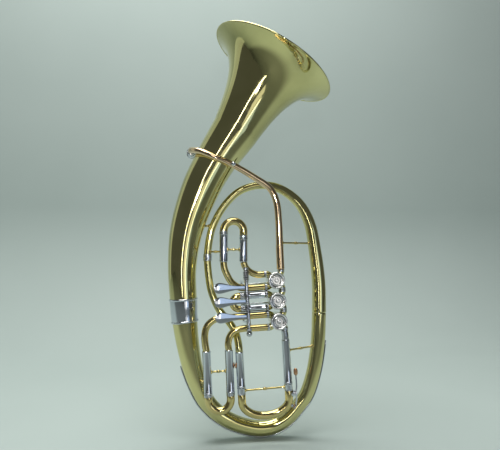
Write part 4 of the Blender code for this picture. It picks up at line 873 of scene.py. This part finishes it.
for title, up, bend, node in (("third_left_sleeve", 1, THIRD_UPPER, "third_upper_tube"),
                              ("third_right_sleeve", -1, THIRD_LOWER, "third_lower_tube")):
    across = -up * THIRD_SPREAD / 2
    knots = [port_end(3, up)] + in_slide_plane(bend) + [third_point(across, THIRD_TOP - OVERLAP)]
    bend_with_sleeve(title, knots, third_point(across, THIRD_TOP), third_point(across, THIRD_BOTTOM), node)
print("third slide's sleeves:", THIRD_TOP - THIRD_BOTTOM, "mm long")

# %% [markdown]
# A crook is half an ellipse of tube between two straight stubs. Its ferrules cover the soldered joints
# to the legs, with a ring against the sleeve's mouth.

# %% Crooks
FERRULE_WALL = 0.6
CROOK_STUB = 0.6
RADII = (LEG_RADIUS, SLEEVE_RADIUS, CROOK_RADIUS)


def crook_slide(name, point, spread, drop, runs, depth, radii, shoulders):
    """point maps (across, up) to a place; runs are each leg's heights up to its sleeve."""
    leg, ferrule_radius, crook = radii
    half = spread / 2
    turn = np.linspace(0.0, math.pi, 49)
    line = [(-half, runs[0] - shoulders[0] + CROOK_STUB)]
    line += [(-half * math.cos(t), -drop * math.sin(t)) for t in turn]
    line += [(half, runs[1] - shoulders[1] + CROOK_STUB)]
    pieces = [tube(name, [(*point(a, u), crook) for a, u in line], CROOK_WALL, 40, gold_brass)]
    for side, run, shoulder in zip((-half, half), runs, shoulders):
        low, high = Vector(point(side, run - shoulder)), Vector(point(side, run))
        stations = level_between(low, high, ferrule_radius, max(6, int(shoulder * 2)))
        band = banded(stations, 0.3, min(1.6, shoulder / 2))
        pieces.append(tube(name + "_ferrule", band, FERRULE_WALL, 40, nickel))
        legs = level_between(high, Vector(point(side, run + depth)), leg, 4)
        pieces.append(tube(name + "_leg", legs, SLEEVE_WALL, 40, nickel))
    return joined(name, *pieces)


# %% The three valve slides
FIRST_RUN = 3.0
SECOND_LENGTH, SECOND_RUN = 34.0, 6.5
SECOND_END = -KNUCKLE_REACH - CLEARANCE - SECOND_LENGTH
SECOND_CENTRE = SECOND_END - CLEARANCE - SECOND_RUN
THIRD_RUN = THIRD_BOTTOM - CLEARANCE


def first_point(across, up):
    middle = (FIRST_LEFT_X + FIRST_RIGHT_X) / 2
    return (middle + across, SLIDE_PLANE, FIRST_TOP_LEFT + CLEARANCE + FIRST_RUN - up)


def second_point(across, up):
    return column(SECOND_CENTRE + up, SLIDE_PLANE, across)


first_runs = (FIRST_RUN, FIRST_TOP_LEFT + FIRST_RUN - FIRST_TOP_RIGHT)
first_spread = FIRST_RIGHT_X - FIRST_LEFT_X
CROOKS = {
    "first": (first_point, first_spread, first_spread / 2, first_runs, 33.0, RADII, (2.8, 4.0)),
    "second": (second_point, 2 * PORT_OFFSET, PORT_OFFSET, (SECOND_RUN, SECOND_RUN), 26.0,
               (4.45, 5.5, 5.2), (4.0, 4.0)),
    "third": (third_point, THIRD_SPREAD, THIRD_SPREAD / 2, (THIRD_RUN, THIRD_RUN), 46.0, RADII, (3.6, 3.6)),
}
for title, facts in CROOKS.items():
    hand_over(crook_slide(title + "_crook", *facts), title + "_slide", title + "_slide")
for title, up in (("second_upper_%s", 1), ("second_lower_%s", -1)):
    ends = port_end(2, up), column(SECOND_END, SLIDE_PLANE, up * PORT_OFFSET)
    sleeve = sleeve_tube(title % "sleeve", *ends, 36, radius=5.35, shoulder=5.1, ring=0.15)
    hand_over(sleeve, HORN_BODY, title % "tube")
print("valve slides:", list(CROOKS))

# %% [markdown]
# ## Main tuning slide
#
# The largest slide hangs at the bottom of the valve column. Its crook carries a bar between its legs,
# which keeps them parallel and gives the fingers a hold, and a short nipple that the water key closes.

# %% Main slide, its bar and its nipple
MAIN_DROP = 22.6
MAIN_SLEEVE_BOTTOM = 22.0
MAIN_FERRULE = 10.0
MAIN_STAY = 17.0
BAR_RADIUS, BAR_BEAD, BAR_FOOT, BAR_SINK = 1.5, 0.9, 2.8, 0.8
NIPPLE_ANGLE = math.radians(20.0)
NIPPLE_HEIGHT = 3.2
NIPPLE_WALL = 0.9
NIPPLE_MARKS = [(-1.0, 3.0), (-0.1, 2.9), (0.5, 2.35), (1.0, 2.2), (2.4, 2.2), (2.9, 2.35),
                (NIPPLE_HEIGHT, 2.35)]


def nipple_line():
    """The crook's centre at the nipple and the way out from it, both (across, up)."""
    half = MAIN_SPREAD / 2
    centre = Vector((half * math.cos(NIPPLE_ANGLE), -MAIN_DROP * math.sin(NIPPLE_ANGLE)))
    return centre, Vector((math.cos(NIPPLE_ANGLE) / half, -math.sin(NIPPLE_ANGLE) / MAIN_DROP)).normalized()


def out_from_nipple(marks):
    """Stations at (mm outside the crook's skin, radius), along the nipple."""
    centre, out = nipple_line()
    places = [(centre + out * (CROOK_RADIUS + away), r) for away, r in marks]
    return [(*main_point(place.x, place.y), r) for place, r in places]


def turned_bar(name, start, end, foot, sink):
    """A rod with a dished foot at each end, sunk into its tubes, and a bead in the middle."""
    length = (Vector(end) - Vector(start)).length
    slim, bead, middle = BAR_RADIUS, BAR_BEAD, length / 2
    half = [(0.0, foot), (sink + 0.3, foot), (sink + 0.7, foot - 0.25), (sink + 1.1, foot - 1.0),
            (sink + 1.9, slim + 0.25), (sink + 3.0, slim)]
    if middle > sink + 8.0:
        half += [(middle - 3.0, slim), (middle - 2.6, slim + 0.5), (middle - 2.1, slim + 0.3)]
        half += [(middle + 1.9 * math.cos(t), slim + bead * math.sin(t))
                 for t in np.linspace(math.pi, math.pi / 2, 6)]
    profile = half + [(length - far, r) for far, r in reversed(half)]
    return rod(name, along(start, end, profile), 24, gold_brass)


main_run = MAIN_SLEEVE_BOTTOM - CLEARANCE
crook = crook_slide("main_crook", main_point, MAIN_SPREAD, MAIN_DROP, (main_run, main_run), 46.0, RADII,
                    (MAIN_FERRULE, MAIN_FERRULE))
inner = MAIN_SPREAD / 2 - SLEEVE_RADIUS + BAR_SINK
bar = turned_bar("main_bar", main_point(-inner, MAIN_STAY), main_point(inner, MAIN_STAY), BAR_FOOT, BAR_SINK)
nipple = tube("nipple", out_from_nipple(NIPPLE_MARKS), NIPPLE_WALL, 24, nickel)
hand_over(joined("main_crook", crook, bar, nipple), "main_slide", "main_slide")
print("main crook faces:", len(crook.data.polygons))

# %% [markdown]
# The sleeve on the right comes straight down from the third valve. The one on the left takes the air on
# to the first branch, and a short stay with flat discs ties it to the third valve's sleeve.

# %% Main sleeves and the disc stay
MAIN_RIGHT_TOP = 88.0
MAIN_BEND_RADIUS = 5.4
PAIR_UP, PAIR_THIRD_UP = 54.0, 50.0
PAIR_ROD, PAIR_EDGE, PAIR_DISC = 1.6, 3.9, 4.3
half, third_half = MAIN_SPREAD / 2, THIRD_SPREAD / 2
right_places = [column(LINE_OFFSET, SLIDE_PLANE, valve_v(3) - (VALVE_PITCH + CLEARANCE) / 2),
                column(LINE_OFFSET, SLIDE_PLANE, valve_v(3) - VALVE_PITCH / 2 - 3.0),
                main_point(half, MAIN_RIGHT_TOP + 5.0), main_point(half, MAIN_RIGHT_TOP - OVERLAP)]
right_route = smooth_route([(*place, MAIN_BEND_RADIUS) for place in right_places], 1.5)
right_bend = tube("main_right_bend", right_route, SLEEVE_WALL, 40, nickel)
right_sleeve = sleeve_tube("main_right_sleeve", main_point(half, MAIN_RIGHT_TOP),
                           main_point(half, MAIN_SLEEVE_BOTTOM), shoulder=5.5, foot=0.0)
hand_over(joined("main_right", right_bend, right_sleeve), HORN_BODY, "main_right_tube")
left_sleeve = sleeve_tube("main_left_sleeve", main_point(-half, MAIN_SLEEVE_TOP),
                          main_point(-half, MAIN_SLEEVE_BOTTOM), shoulder=5.85)
pair_marks = [(5.4, PAIR_DISC), (6.9, PAIR_DISC), (7.2, PAIR_EDGE), (7.4, PAIR_ROD),
              (-7.6, PAIR_ROD), (-7.4, PAIR_EDGE), (-7.1, PAIR_DISC), (-6.35, PAIR_DISC)]
pair = rod("pair_stay", along(main_point(-half, PAIR_UP), third_point(third_half, PAIR_THIRD_UP),
                              pair_marks), 24, bronze)
hand_over(joined("main_left", left_sleeve, pair), HORN_BODY, "main_left_tube")
print("main slide spread:", MAIN_SPREAD, "mm")

# %% [markdown]
# ## Stays
#
# Thin turned rods hold the tubes apart. Each has a small dished foot, cut to the tube that it is
# soldered to, and a bead in the middle, where a finger can feel it and the lathe left it thicker.

# %% Stays between tubes
STAY_FOOT, STAY_SINK = 3.2, 1.0


def stay(name, start, end, node):
    """start and end are (x, y, z, radius) of the tubes' centre lines where the stay meets them."""
    a, b = Vector(start[:3]), Vector(end[:3])
    step = (b - a).normalized()
    a, b = a + step * (start[3] - STAY_SINK), b - step * (end[3] - STAY_SINK)
    return hand_over(turned_bar(name, a, b, STAY_FOOT, STAY_SINK), HORN_BODY, node)


def on(line, z, last=False):
    """A tube's centre at a height, with half its width measured level."""
    x, y, z, radius = at_height(line, z, last)
    unshaded_card_share = at_height(line, z + 1.0, last)
    slope = math.atan2(abs(unshaded_card_share[0] - x), 1.0)
    return (x, y, z, radius / math.cos(slope))


def sleeve_at(place):
    return (*place, SLEEVE_RADIUS)


BELL_AT_LEADPIPE, LEADPIPE_AT_BELL = (-72.4, 0.0, 431.0, 31.8), (-54.0, -36.0, 420.6, 4.5)
first_low, first_left, first_right = in_slide_plane(
    [(FIRST_LEFT_X, 286.4), (FIRST_LEFT_X, 289.5), (FIRST_RIGHT_X, 289.5)])
third_left, third_right = third_point(-third_half, 41.5), third_point(third_half, 41.5)
STAYS = [
    ("bell_rod", on(bell_line, 326.6), on(upper_line, 326.6, True), "bell_stay"),
    ("leadpipe_rod", BELL_AT_LEADPIPE, LEADPIPE_AT_BELL, "leadpipe_stay"),
    ("upper_bow_rod", on(lead_line, 300.0), on(upper_line, 300.0), "upper_bow_stay"),
    ("branch_rod", on(upper_line, 286.4, True), sleeve_at(first_low), "first_branch_stay"),
    ("first_sleeves_rod", sleeve_at(first_left), sleeve_at(first_right), "first_slide_stay"),
    ("third_sleeves_rod", sleeve_at(third_left), sleeve_at(third_right), "third_slide_stay"),
    ("third_bow_rod", on(bottom_line, 89.6), sleeve_at(third_point(-third_half, 25.0)),
     "third_slide_bow_stay"),
    ("main_bow_rod", sleeve_at(main_point(half, 71.0)), on(bottom_line, 139.0, True), "slide_bow_stay"),
]
for facts in STAYS:
    stay(*facts)
print("stays:", len(STAYS))

# %% [markdown]
# ## Lever work
#
# Three levers turn on one upright axle. Each is a paddle for a finger, a hub, and an arm behind it that
# pushes a link, which turns the rotor's stop arm. A coil spring over each hub brings the lever back.
#
# A paddle is a teardrop with a slightly domed face. It starts as a chain of points across the neck. The
# chain is extruded along the paddle and widened or narrowed at every step, then gets its thickness.

# %% Paddles
PADDLE_V = {1: 22.4, 2: 1.6, 3: -21.0}
PADDLE_LENGTH = 50.5
PADDLE_WIDTH = 15.6
PADDLE_NECK = 5.6
PADDLE_THICK = 1.8
PADDLE_CROWN = 0.7
PADDLE_RISE = math.radians(12.0)
PADDLE_LIFT = math.radians(3.0)
PADDLE_ROUNDING = 0.5
AXLE_U, AXLE_Y = -44.7, -36.0
axle_stand = column_frame(AXLE_U, AXLE_Y)


def paddle_halves():
    """(distance from the axle, half width) from the neck to the round tip."""
    wide, neck = PADDLE_WIDTH / 2, PADDLE_NECK / 2
    far = PADDLE_LENGTH - wide
    edge = [(0.05 * PADDLE_LENGTH, 0, neck), (0.28 * PADDLE_LENGTH, 0, 1.04 * neck),
            (0.51 * PADDLE_LENGTH, 0, 0.58 * wide), (0.75 * PADDLE_LENGTH, 0, 0.95 * wide), (far, 0, wide)]
    side = [(s[0], s[2]) for s in smooth_route([(*p, 0) for p in edge], 1.2)][:-1]
    tip = [(far + wide * math.sin(t), wide * math.cos(t)) for t in np.linspace(0, math.radians(86), 14)]
    return side + tip


def axes_frame(origin, x_axis, y_axis):
    """A place in mm with its own X and Y directions."""
    x, y = Vector(x_axis).normalized(), Vector(y_axis).normalized()
    return at(*origin) @ Matrix((x, y, x.cross(y))).transposed().to_4x4()


def close_shell():
    """Leaves edit mode with every face of the selected mesh turned outwards."""
    bpy.ops.mesh.select_all(action="SELECT")
    bpy.ops.mesh.normals_make_consistent(inside=False)
    bpy.ops.object.mode_set(mode="OBJECT")


def make_paddle(number):
    halves = paddle_halves()
    start, first = halves[0]
    low = 1.0 - PADDLE_THICK / 2
    crown = PADDLE_CROWN * first / (PADDLE_WIDTH / 2)
    neck_row = [(start, first * a, low - crown * (1 - a * a)) for a in np.linspace(-1.0, 1.0, 13)]
    paddle = chain("paddle", neck_row)
    for (x0, h0), (x1, h1) in zip(halves, halves[1:]):
        extrude(x1 - x0)
        bpy.ops.transform.resize(value=(1.0, h1 / h0, h1 / h0), center_override=(x1 * MM, 0.0, low * MM))
    close_shell()
    bpy.ops.object.modifier_add(type="SOLIDIFY")
    sheet = paddle.modifiers[-1]
    sheet.thickness = (PADDLE_THICK - PADDLE_ROUNDING) * MM
    sheet.offset = 0.0
    bpy.ops.object.modifier_apply(modifier=sheet.name)
    rise, lift = PADDLE_RISE, PADDLE_LIFT
    out = Vector((-math.cos(rise), -math.sin(rise), 0.0)) * math.cos(lift) + Vector((0, 0, math.sin(lift)))
    up = Vector((0, 0, 1)) - out * out.z
    settle(paddle, axle_stand @ axes_frame((0, 0, PADDLE_V[number]), out, up))
    return painted(rounded(paddle, 0.35, 50.0, 3), nickel)


paddles = {number: make_paddle(number) for number in VALVES}
print("paddle faces:", len(paddles[1].data.polygons))

# %% [markdown]
# The hub is a turned sleeve with a bead at each end. The arm behind it is a flat plate, wide at the hub
# and narrow at the pin, cut to the line round two circles.

# %% Plates, hubs and rear arms
COUNT_NAME = {1: "one", 2: "two", 3: "three"}
HUB_RADIUS, HUB_BORE = 3.6, 2.6
ARM_THICK = 3.0
PIN_RADIUS, PIN_MORE = 1.2, 2.0
STOP_RADIUS = 7.0
STOP_REACH = STOP_RADIUS * math.sin(math.radians(45.0))
LINK_Y = -4.0
LINK_SIDE = {1: -1, 2: -1, 3: 1}


def egg(length, unshaded_card_share, far):
    """Outline round two circles on the X axis, a length apart."""
    turn = math.degrees(math.asin((unshaded_card_share - far) / length))
    return (arc((length, 0.0), far, -90 + turn, 90 - turn, 15)
            + arc((0.0, 0.0), unshaded_card_share, 90 - turn, 270 + turn, 15))


def plate(name, outline, thick, place, edge=0.25):
    """A flat piece cut to an outline in its own XY plane, centred on its thickness."""
    piece = chain(name, [(x, y, -thick / 2) for x, y in outline])
    bpy.ops.mesh.edge_face_add()
    extrude(z=thick)
    close_shell()
    settle(piece, place)
    return painted(rounded(piece, edge, 50.0), nickel)


def hub_span(number):
    """The heights between which a hub reaches from its paddle to its arm."""
    unshaded_card_share, arm = PADDLE_V[number], valve_v(number)
    return min(unshaded_card_share - 4.2, arm - 2.6), max(unshaded_card_share + 4.2, arm + 2.6)


def ring_profile(low, high, outer, bore, bead):
    """A tube's wall with a half-round bead at both ends, as a closed loop of (radius, height)."""
    ends = [(outer - bead + bead * math.sin(t), bead * (1 - math.cos(t)))
            for t in np.linspace(0.3, math.pi, 7)]
    lower = [(r, low + h) for r, h in ends]
    upper = [(r, high - h) for r, h in reversed(ends)]
    return [(bore, low)] + lower + upper + [(bore, high), (bore, low)]


def make_lever(number):
    low, high = hub_span(number)
    hub = turned("hub", ring_profile(low, high, HUB_RADIUS, HUB_BORE, 0.6), axle_stand, 40)
    swing = math.atan(STOP_REACH / (LINK_Y - AXLE_Y))
    reach = (LINK_Y - AXLE_Y) / math.cos(swing)
    aim = Vector((-math.sin(swing), math.cos(swing), 0.0))
    v, side = valve_v(number), LINK_SIDE[number]
    turn = axle_stand @ axes_frame((0.0, 0.0, v), aim, Vector((0, 0, 1)).cross(aim))
    arm = plate("rear_arm", egg(reach, 3.2, 2.3), ARM_THICK, turn)
    pin_ends = [(*column(AXLE_U + aim.x * reach, AXLE_Y + aim.y * reach, v + w), PIN_RADIUS)
                for w in (0.0, side * (STOP_REACH + PIN_MORE))]
    pin = rod("pin", pin_ends, 20, nickel, 0.3)
    return joined("lever_" + COUNT_NAME[number], paddles[number], hub, arm, pin)


for number in VALVES:
    lever = hand_over(make_lever(number), "lever_%d" % number, "lever_%d" % number)
    print(lever.name, "faces:", len(lever.data.polygons))

# %% [markdown]
# A link has an eye on the lever's pin, a thin rod and a flat end, which a slotted screw holds on the stop
# arm. The slot is cut by a thin block, the one shape here that is easiest to take away.

# %% Links
LINK_RADIUS = 1.0
EYE_HALF, EYE_RADIUS, EYE_BORE = 1.2, 2.9, 1.5
SCREW_RADIUS, SCREW_HEIGHT = 1.7, 1.1


def slotted_head(place):
    """A low domed screw head standing on its place's XY plane, with a slot across it."""
    radius, height = SCREW_RADIUS, SCREW_HEIGHT
    dome = [(0.0, height), (0.45 * radius, height * 0.97), (0.8 * radius, height * 0.8),
            (radius, height * 0.45), (radius, 0.0), (0.0, 0.0)]
    head = turned("screw", dome, None, 24)
    only()
    bpy.ops.mesh.primitive_cube_add(size=1.0, location=(0.0, 0.0, height * MM))
    blade = bpy.context.object
    bpy.ops.transform.resize(value=(2.6 * radius * MM, 0.3 * radius * MM, 0.8 * height * MM))
    only(head)
    bpy.ops.object.modifier_add(type="BOOLEAN")
    slot = head.modifiers[-1]
    slot.operation = "DIFFERENCE"
    slot.solver = "EXACT"
    slot.object = blade
    bpy.ops.object.modifier_apply(modifier=slot.name)
    bpy.data.objects.remove(blade, do_unlink=True)
    painted(head, nickel)
    return smooth(settle(head, place))


def make_link(number):
    v = valve_v(number) + LINK_SIDE[number] * STOP_REACH
    left, right = AXLE_U - STOP_REACH, -STOP_REACH
    eye = turned("eye", ring_profile(v - EYE_HALF, v + EYE_HALF, EYE_RADIUS, EYE_BORE, 0.4),
                 column_frame(left, LINK_Y), 32)
    bar_ends = [(*column(u, LINK_Y, v), LINK_RADIUS) for u in (left + 2.2, right - 2.0)]
    bar = rod("bar", bar_ends, 16, nickel, 0.2)
    end = plate("end", egg(3.0, 2.6, 1.4), 2.0,
                column_frame(right, LINK_Y, v) @ TO_FRONT @ Matrix.Rotation(math.radians(180.0), 4, "Z"))
    head = slotted_head(column_frame(right, LINK_Y + 1.0, v) @ TO_PLAYER)
    return joined("link_" + COUNT_NAME[number], eye, bar, end, head)


for number in VALVES:
    link = hand_over(make_link(number), "link_%d" % number, "link_%d" % number)
    print(link.name, "faces:", len(link.data.polygons))

# %% [markdown]
# The axle is one turned rod that ends in a ball below. A bracket near each end holds it: a plate that
# stands on the horn and a beaded ring round the rod.

# %% Axle and its two brackets
AXLE_RADIUS, AXLE_TOP, AXLE_BOTTOM, AXLE_BALL = 2.3, 52.5, -42.4, 4.4
ball_opening = math.asin(AXLE_RADIUS / AXLE_BALL)
ball_centre = AXLE_BOTTOM - AXLE_BALL * math.cos(ball_opening)
ball = arc((0.0, ball_centre), AXLE_BALL, 90 - math.degrees(ball_opening), -90, 20)
axle_profile = [(0.0, AXLE_TOP), (1.6, AXLE_TOP), (2.1, AXLE_TOP - 0.3), (AXLE_RADIUS, AXLE_TOP - 0.9),
                (AXLE_RADIUS, AXLE_BOTTOM + 0.4)] + [(max(0.0, r), h) for r, h in ball]
hand_over(turned("axle", axle_profile, axle_stand, 32), HORN_BODY, "lever_axle")

BRACKETS = [("top_bracket", "axle_post_top", AXLE_TOP - 2.0),
            ("bottom_bracket", "axle_post_bottom", valve_v(3) - PORT_OFFSET)]
for name, node, v in BRACKETS:
    turn = column_frame() @ axes_frame((AXLE_U, AXLE_Y, v), (0, 1, 0), (-1, 0, 0))
    foot = plate(name, egg(5.8, 4.0, 2.5), 3.0, turn, 0.4)
    ring = turned("bracket_ring", ring_profile(v - 1.8, v + 1.8, 4.3, 2.4, 0.5), axle_stand, 32)
    hand_over(joined(name, foot, ring), HORN_BODY, node)
print("axle length:", AXLE_TOP - AXLE_BOTTOM, "mm")

# %% [markdown]
# ## Springs
#
# Each lever has a coil of steel wire over the axle. A coil is one path that climbs as it turns, so the
# tube bender makes it from its stations.

# %% Coil springs
COIL_POINTS = 20


def coil(name, place, low, high, radius, wire, step):
    """A coil between two heights; radius is that of its centre line, wire that of the wire."""
    turns = (high - low - 2 * wire - CLEARANCE) / step
    stations = []
    for i in range(int(turns * COIL_POINTS) + 1):
        angle = math.tau * i / COIL_POINTS
        height = low + CLEARANCE / 2 + wire + step * i / COIL_POINTS
        spot = place @ (Vector((radius * math.cos(angle), radius * math.sin(angle), height)) * MM) / MM
        stations.append((*spot, wire))
    return painted(smooth(swept(name, stations, 10, True), 60.0), steel)


SPRINGS = {1: (hub_span(1)[1], AXLE_TOP - 4.2, 3.8, 0.8, 2.6),
           2: (hub_span(2)[1], hub_span(1)[0], 3.3, 0.5, 3.0),
           3: (hub_span(3)[1], hub_span(2)[0], 3.3, 0.5, 3.0)}
for number, facts in SPRINGS.items():
    spring = coil("spring_" + COUNT_NAME[number], axle_stand, *facts)
    hand_over(spring, HORN_BODY, "lever_spring_%d" % number)
print("springs:", len(SPRINGS))

# %% [markdown]
# ## Water key
#
# The player's breath leaves water in the lowest crook. The key is a small lever on a saddle: its cork
# closes the nipple, a coil spring holds it there, and a press on its touch lets the water out.

# %% Saddle of the water key
KEY_HINGE = (10.5, 6.5)
KEY_TOUCH = (12.6, 38.0)
SADDLE_OUTLINE = [(-4.2, -4.0), (4.2, -4.0), (4.2, 4.0), (-4.2, 4.0)]
SADDLE_THICK, EAR_THICK, EAR_Y = 1.6, 1.0, 4.5
HINGE_RADIUS, HINGE_Y = 0.9, 5.8


def key_place(across, up, y=0.0):
    """across is measured from the right leg of the main slide."""
    x, _, z = main_point(half + across, up)
    return (x, SLIDE_PLANE + y, z)


def key_direction(across, up):
    return (Vector(main_point(across, up)) - Vector(main_point(0, 0))).normalized()


across, up = KEY_HINGE
key_left, key_right, key_up = key_direction(-1, 0), key_direction(1, 0), key_direction(0, 1)
base_place = axes_frame(key_place(SLEEVE_RADIUS + 0.6, up), key_up, (0, -1, 0))
saddle = [plate("saddle_base", SADDLE_OUTLINE, SADDLE_THICK, base_place, 0.5)]
for y in (-EAR_Y, EAR_Y):
    place = axes_frame(key_place(across, up, y), key_left, key_up)
    saddle.append(plate("ear", egg(across - SLEEVE_RADIUS, 2.1, 3.2), EAR_THICK, place, 0.2))
hinge_ends = [(*key_place(across, up, y), HINGE_RADIUS) for y in (-HINGE_Y, HINGE_Y)]
hinge_pin = rod("hinge_pin", hinge_ends, 20, nickel)
hand_over(joined("saddle", *saddle, hinge_pin), "main_slide", "water_key_saddle")
print("key hinge at", [round(c, 1) for c in key_place(across, up)])

# %% Key lever, cork pad and spring
KNOB = [(-5.2, 1.3), (-4.6, 1.9), (-3.6, 2.8), (-2.4, 3.15), (0.0, 3.25), (2.2, 3.25), (3.6, 2.95),
        (4.8, 2.2), (5.3, 1.5), (5.6, 0.6)]
CUP = [(1.7, 3.3), (1.9, 3.65), (2.6, 3.65), (3.1, 3.4), (3.5, 2.6)]
PAD = [(0.3, 3.05), (0.45, 3.2), (1.7, 3.2)]
CUP_BACK = 3.3
touch_across, touch_up = KEY_TOUCH


def key_arm(name, points):
    """A round arm through (across, up, y, radius)."""
    knots = [(*key_place(a, u, y), r) for a, u, y, r in points]
    return rod(name, smooth_route(knots, 1.0), 20, nickel, 0.2)


def over_nipple(name, marks, finish):
    """A round piece over the nipple's mouth, through (mm from the mouth, radius)."""
    stations = out_from_nipple([(NIPPLE_HEIGHT + away, r) for away, r in marks])
    return rod(name, stations, 40, finish, 0.1)


centre, out = nipple_line()
cup_at = centre + out * (CROOK_RADIUS + NIPPLE_HEIGHT + CUP_BACK)
hub = turned("key_hub", ring_profile(-0.4, 3.8, 2.2, 1.1, 0.35),
             axes_frame(key_place(across, up), key_right, key_up), 32)
upper_arm = key_arm("upper_arm", [(across, up + 1.2, -1.6, 1.5), (across + 1.8, up + 8, -1.0, 1.3),
                                  (touch_across, touch_up - 4, 0.0, 1.2)])
lower_arm = key_arm("lower_arm", [(across, up - 1.2, -1.6, 1.5), (across + 1.0, up - 7, -0.8, 1.4),
                                  (cup_at.x - half + 0.4, cup_at.y - 0.1, 0.0, 1.2)])
knob = [(*key_place(touch_across, touch_up + far), r) for far, r in KNOB]
touch = rod("touch", knob, 32, bronze, 0.1)
cup = over_nipple("cup", CUP, nickel)
hand_over(joined("key_lever", hub, upper_arm, lower_arm, touch, cup), "water_key", "water_key")
hand_over(over_nipple("cork_pad", PAD, cork), "water_key", "water_key_cork")
key_frame = axes_frame(key_place(across, up, 0.55), key_up, key_right)
key_spring = coil("key_spring", key_frame, 0.0, 3.3, 1.75, 0.3, 0.75)
hand_over(key_spring, "main_slide", "water_key_spring")
print("key lever reaches", round(touch_up - up, 1), "mm above its hinge")

# %% [markdown]
# ## Floor and backdrop
#
# The horn stands on its bottom bow in front of a pale sheet that curves up behind it, as in a photo
# studio. The sheet is one plane whose back edge is lifted and whose fold is rounded by a wide bevel. Its
# front is painted darker, as painted shade for an unlit room, so the polished tubes mirror something dark.

# %% Sweep of pale card
CARD_SIZE = (6.0, 2.6, 1.0)
CARD_MOVE = (0.0, -0.3, -0.0005)
CARD_BACK = 0.9
CARD_RISE, CARD_FOLD = 2400.0, 450.0
DARK_AT, PALE_AT = -0.45, -0.10


def pale_card():
    made, tree, shader, place = new_finish("pale_card")
    mottle = add_node(tree, "TexNoise", "Fac", {"Vector": place, "Scale": 3.0})
    tones = two_tones(tree, mottle, (0.40, 0.475, 0.455), (0.44, 0.515, 0.495))
    # Painted shade: the card is coloured dark towards the front, from PALE_AT to DARK_AT, as a stand-in for
    # an unlit room for the tubes to mirror.
    depth = add_node(tree, "SeparateXYZ", "Y", {"Vector": place})
    unshaded_card_share = add_node(tree, "MapRange", "Result", {"Value": depth, "From Min": DARK_AT, "From Max": PALE_AT},
                    interpolation_type="SMOOTHSTEP")
    card_with_painted_shade = add_node(tree, "Mix", "Result", {"Factor": unshaded_card_share, "A": (0.14, 0.16, 0.155, 1.0), "B": tones},
                    data_type="RGBA")
    fill(tree, shader, {"Base Color": card_with_painted_shade, "Roughness": 0.9})
    return made


only()
bpy.ops.mesh.primitive_plane_add(size=1.0, location=(0.0, 0.0, 0.0))
card = bpy.context.object
card.name = "pale_sweep"
bpy.ops.object.mode_set(mode="EDIT")
bpy.ops.mesh.select_all(action="SELECT")
bpy.ops.transform.resize(value=CARD_SIZE)
bpy.ops.transform.translate(value=CARD_MOVE)
bpy.ops.mesh.select_all(action="DESELECT")
bpy.ops.object.mode_set(mode="OBJECT")
for edge in card.data.edges:
    edge.select = all(card.data.vertices[v].co.y > CARD_BACK for v in edge.vertices)
bpy.ops.object.mode_set(mode="EDIT")
bpy.ops.mesh.select_mode(type="EDGE")
extrude(z=CARD_RISE)
bpy.ops.mesh.select_mode(type="VERT")
bpy.ops.object.mode_set(mode="OBJECT")
rounded(card, CARD_FOLD, 30.0, 12)
painted(card, pale_card())
print("sweep faces:", len(card.data.polygons))

# %% [markdown]
# ## Camera and light
#
# The photograph was taken about 85 cm from the horn, slightly from its left and from below its middle.
# One large soft lamp hangs over the horn and does most of the work, and a tall one behind its left side
# gives the edges a pale rim. In front, a narrow strip and a small spot draw the long bright line and its
# brightest point on every upright tube. On the right, a soft face lamp, a bluish window and a slim bright
# one fill the shadows and give the nickel something cool to mirror.

# %% Camera
CAMERA_PLACE = Vector((-101.1, -794.1, 279.8)) * MM
VIEW = Vector((0.1043, 0.9927, 0.0611))
LENS, SENSOR = 36.46, 36.0
only()
bpy.ops.object.camera_add(location=CAMERA_PLACE)
camera = bpy.context.object
camera.rotation_euler = VIEW.to_track_quat("-Z", "Y").to_euler()
camera.data.lens = LENS
camera.data.sensor_width = SENSOR
camera.data.clip_start = 0.01
bpy.context.scene.camera = camera
bpy.context.scene.view_settings.view_transform = "Standard"
print("camera distance:", round(CAMERA_PLACE.length, 3), "m")


# %% Lamps and room
def lamp(name, place, aim, size, watts, colour):
    """A flat lamp at a place in metres, turned towards its aim."""
    only()
    bpy.ops.object.light_add(type="AREA", location=place)
    made = bpy.context.object
    made.name = name
    made.data.shape = "RECTANGLE"
    made.data.size, made.data.size_y = size
    made.data.energy = watts
    made.data.color = colour
    made.rotation_euler = (Vector(aim) - Vector(place)).to_track_quat("-Z", "Y").to_euler()


MIDDLE = (0.0, 0.0, 0.32)
WARM_WHITE, WHITE = (1.0, 0.99, 0.96), (1.0, 1.0, 1.0)
lamp("top_lamp", (-0.2, 0.0, 2.2), MIDDLE, (1.8, 1.5), 55.0, WARM_WHITE)
lamp("left_lamp", (-1.7, 0.75, 1.15), (0.0, 0.3, 0.5), (1.0, 2.4), 3.0, (0.90, 1.0, 0.90))
lamp("strip_lamp", (-0.16, -0.86, 0.55), MIDDLE, (0.03, 0.9), 0.9, WARM_WHITE)
lamp("spot_lamp", (-0.10, -0.86, 0.36), MIDDLE, (0.03, 0.03), 1.0, WHITE)
lamp("face_lamp", (0.232, -1.25, 0.123), (0.03, 0.0, 0.22), (0.26, 0.40), 0.29, (1.0, 0.98, 0.95))
lamp("window_lamp", (0.78, -1.35, 0.20), (-0.05, 0.0, 0.23), (0.5, 0.8), 1.1, (0.60, 0.76, 1.0))
lamp("glint_lamp", (0.50, -1.33, 0.16), (-0.06, 0.0, 0.23), (0.12, 0.5), 0.4, WHITE)
world = bpy.data.worlds.new("room")
world.use_nodes = True
background = world.node_tree.nodes["Background"]
fill(world.node_tree, background, {"Color": (0.42, 0.45, 0.44, 1.0), "Strength": 0.2})
bpy.context.scene.world = world
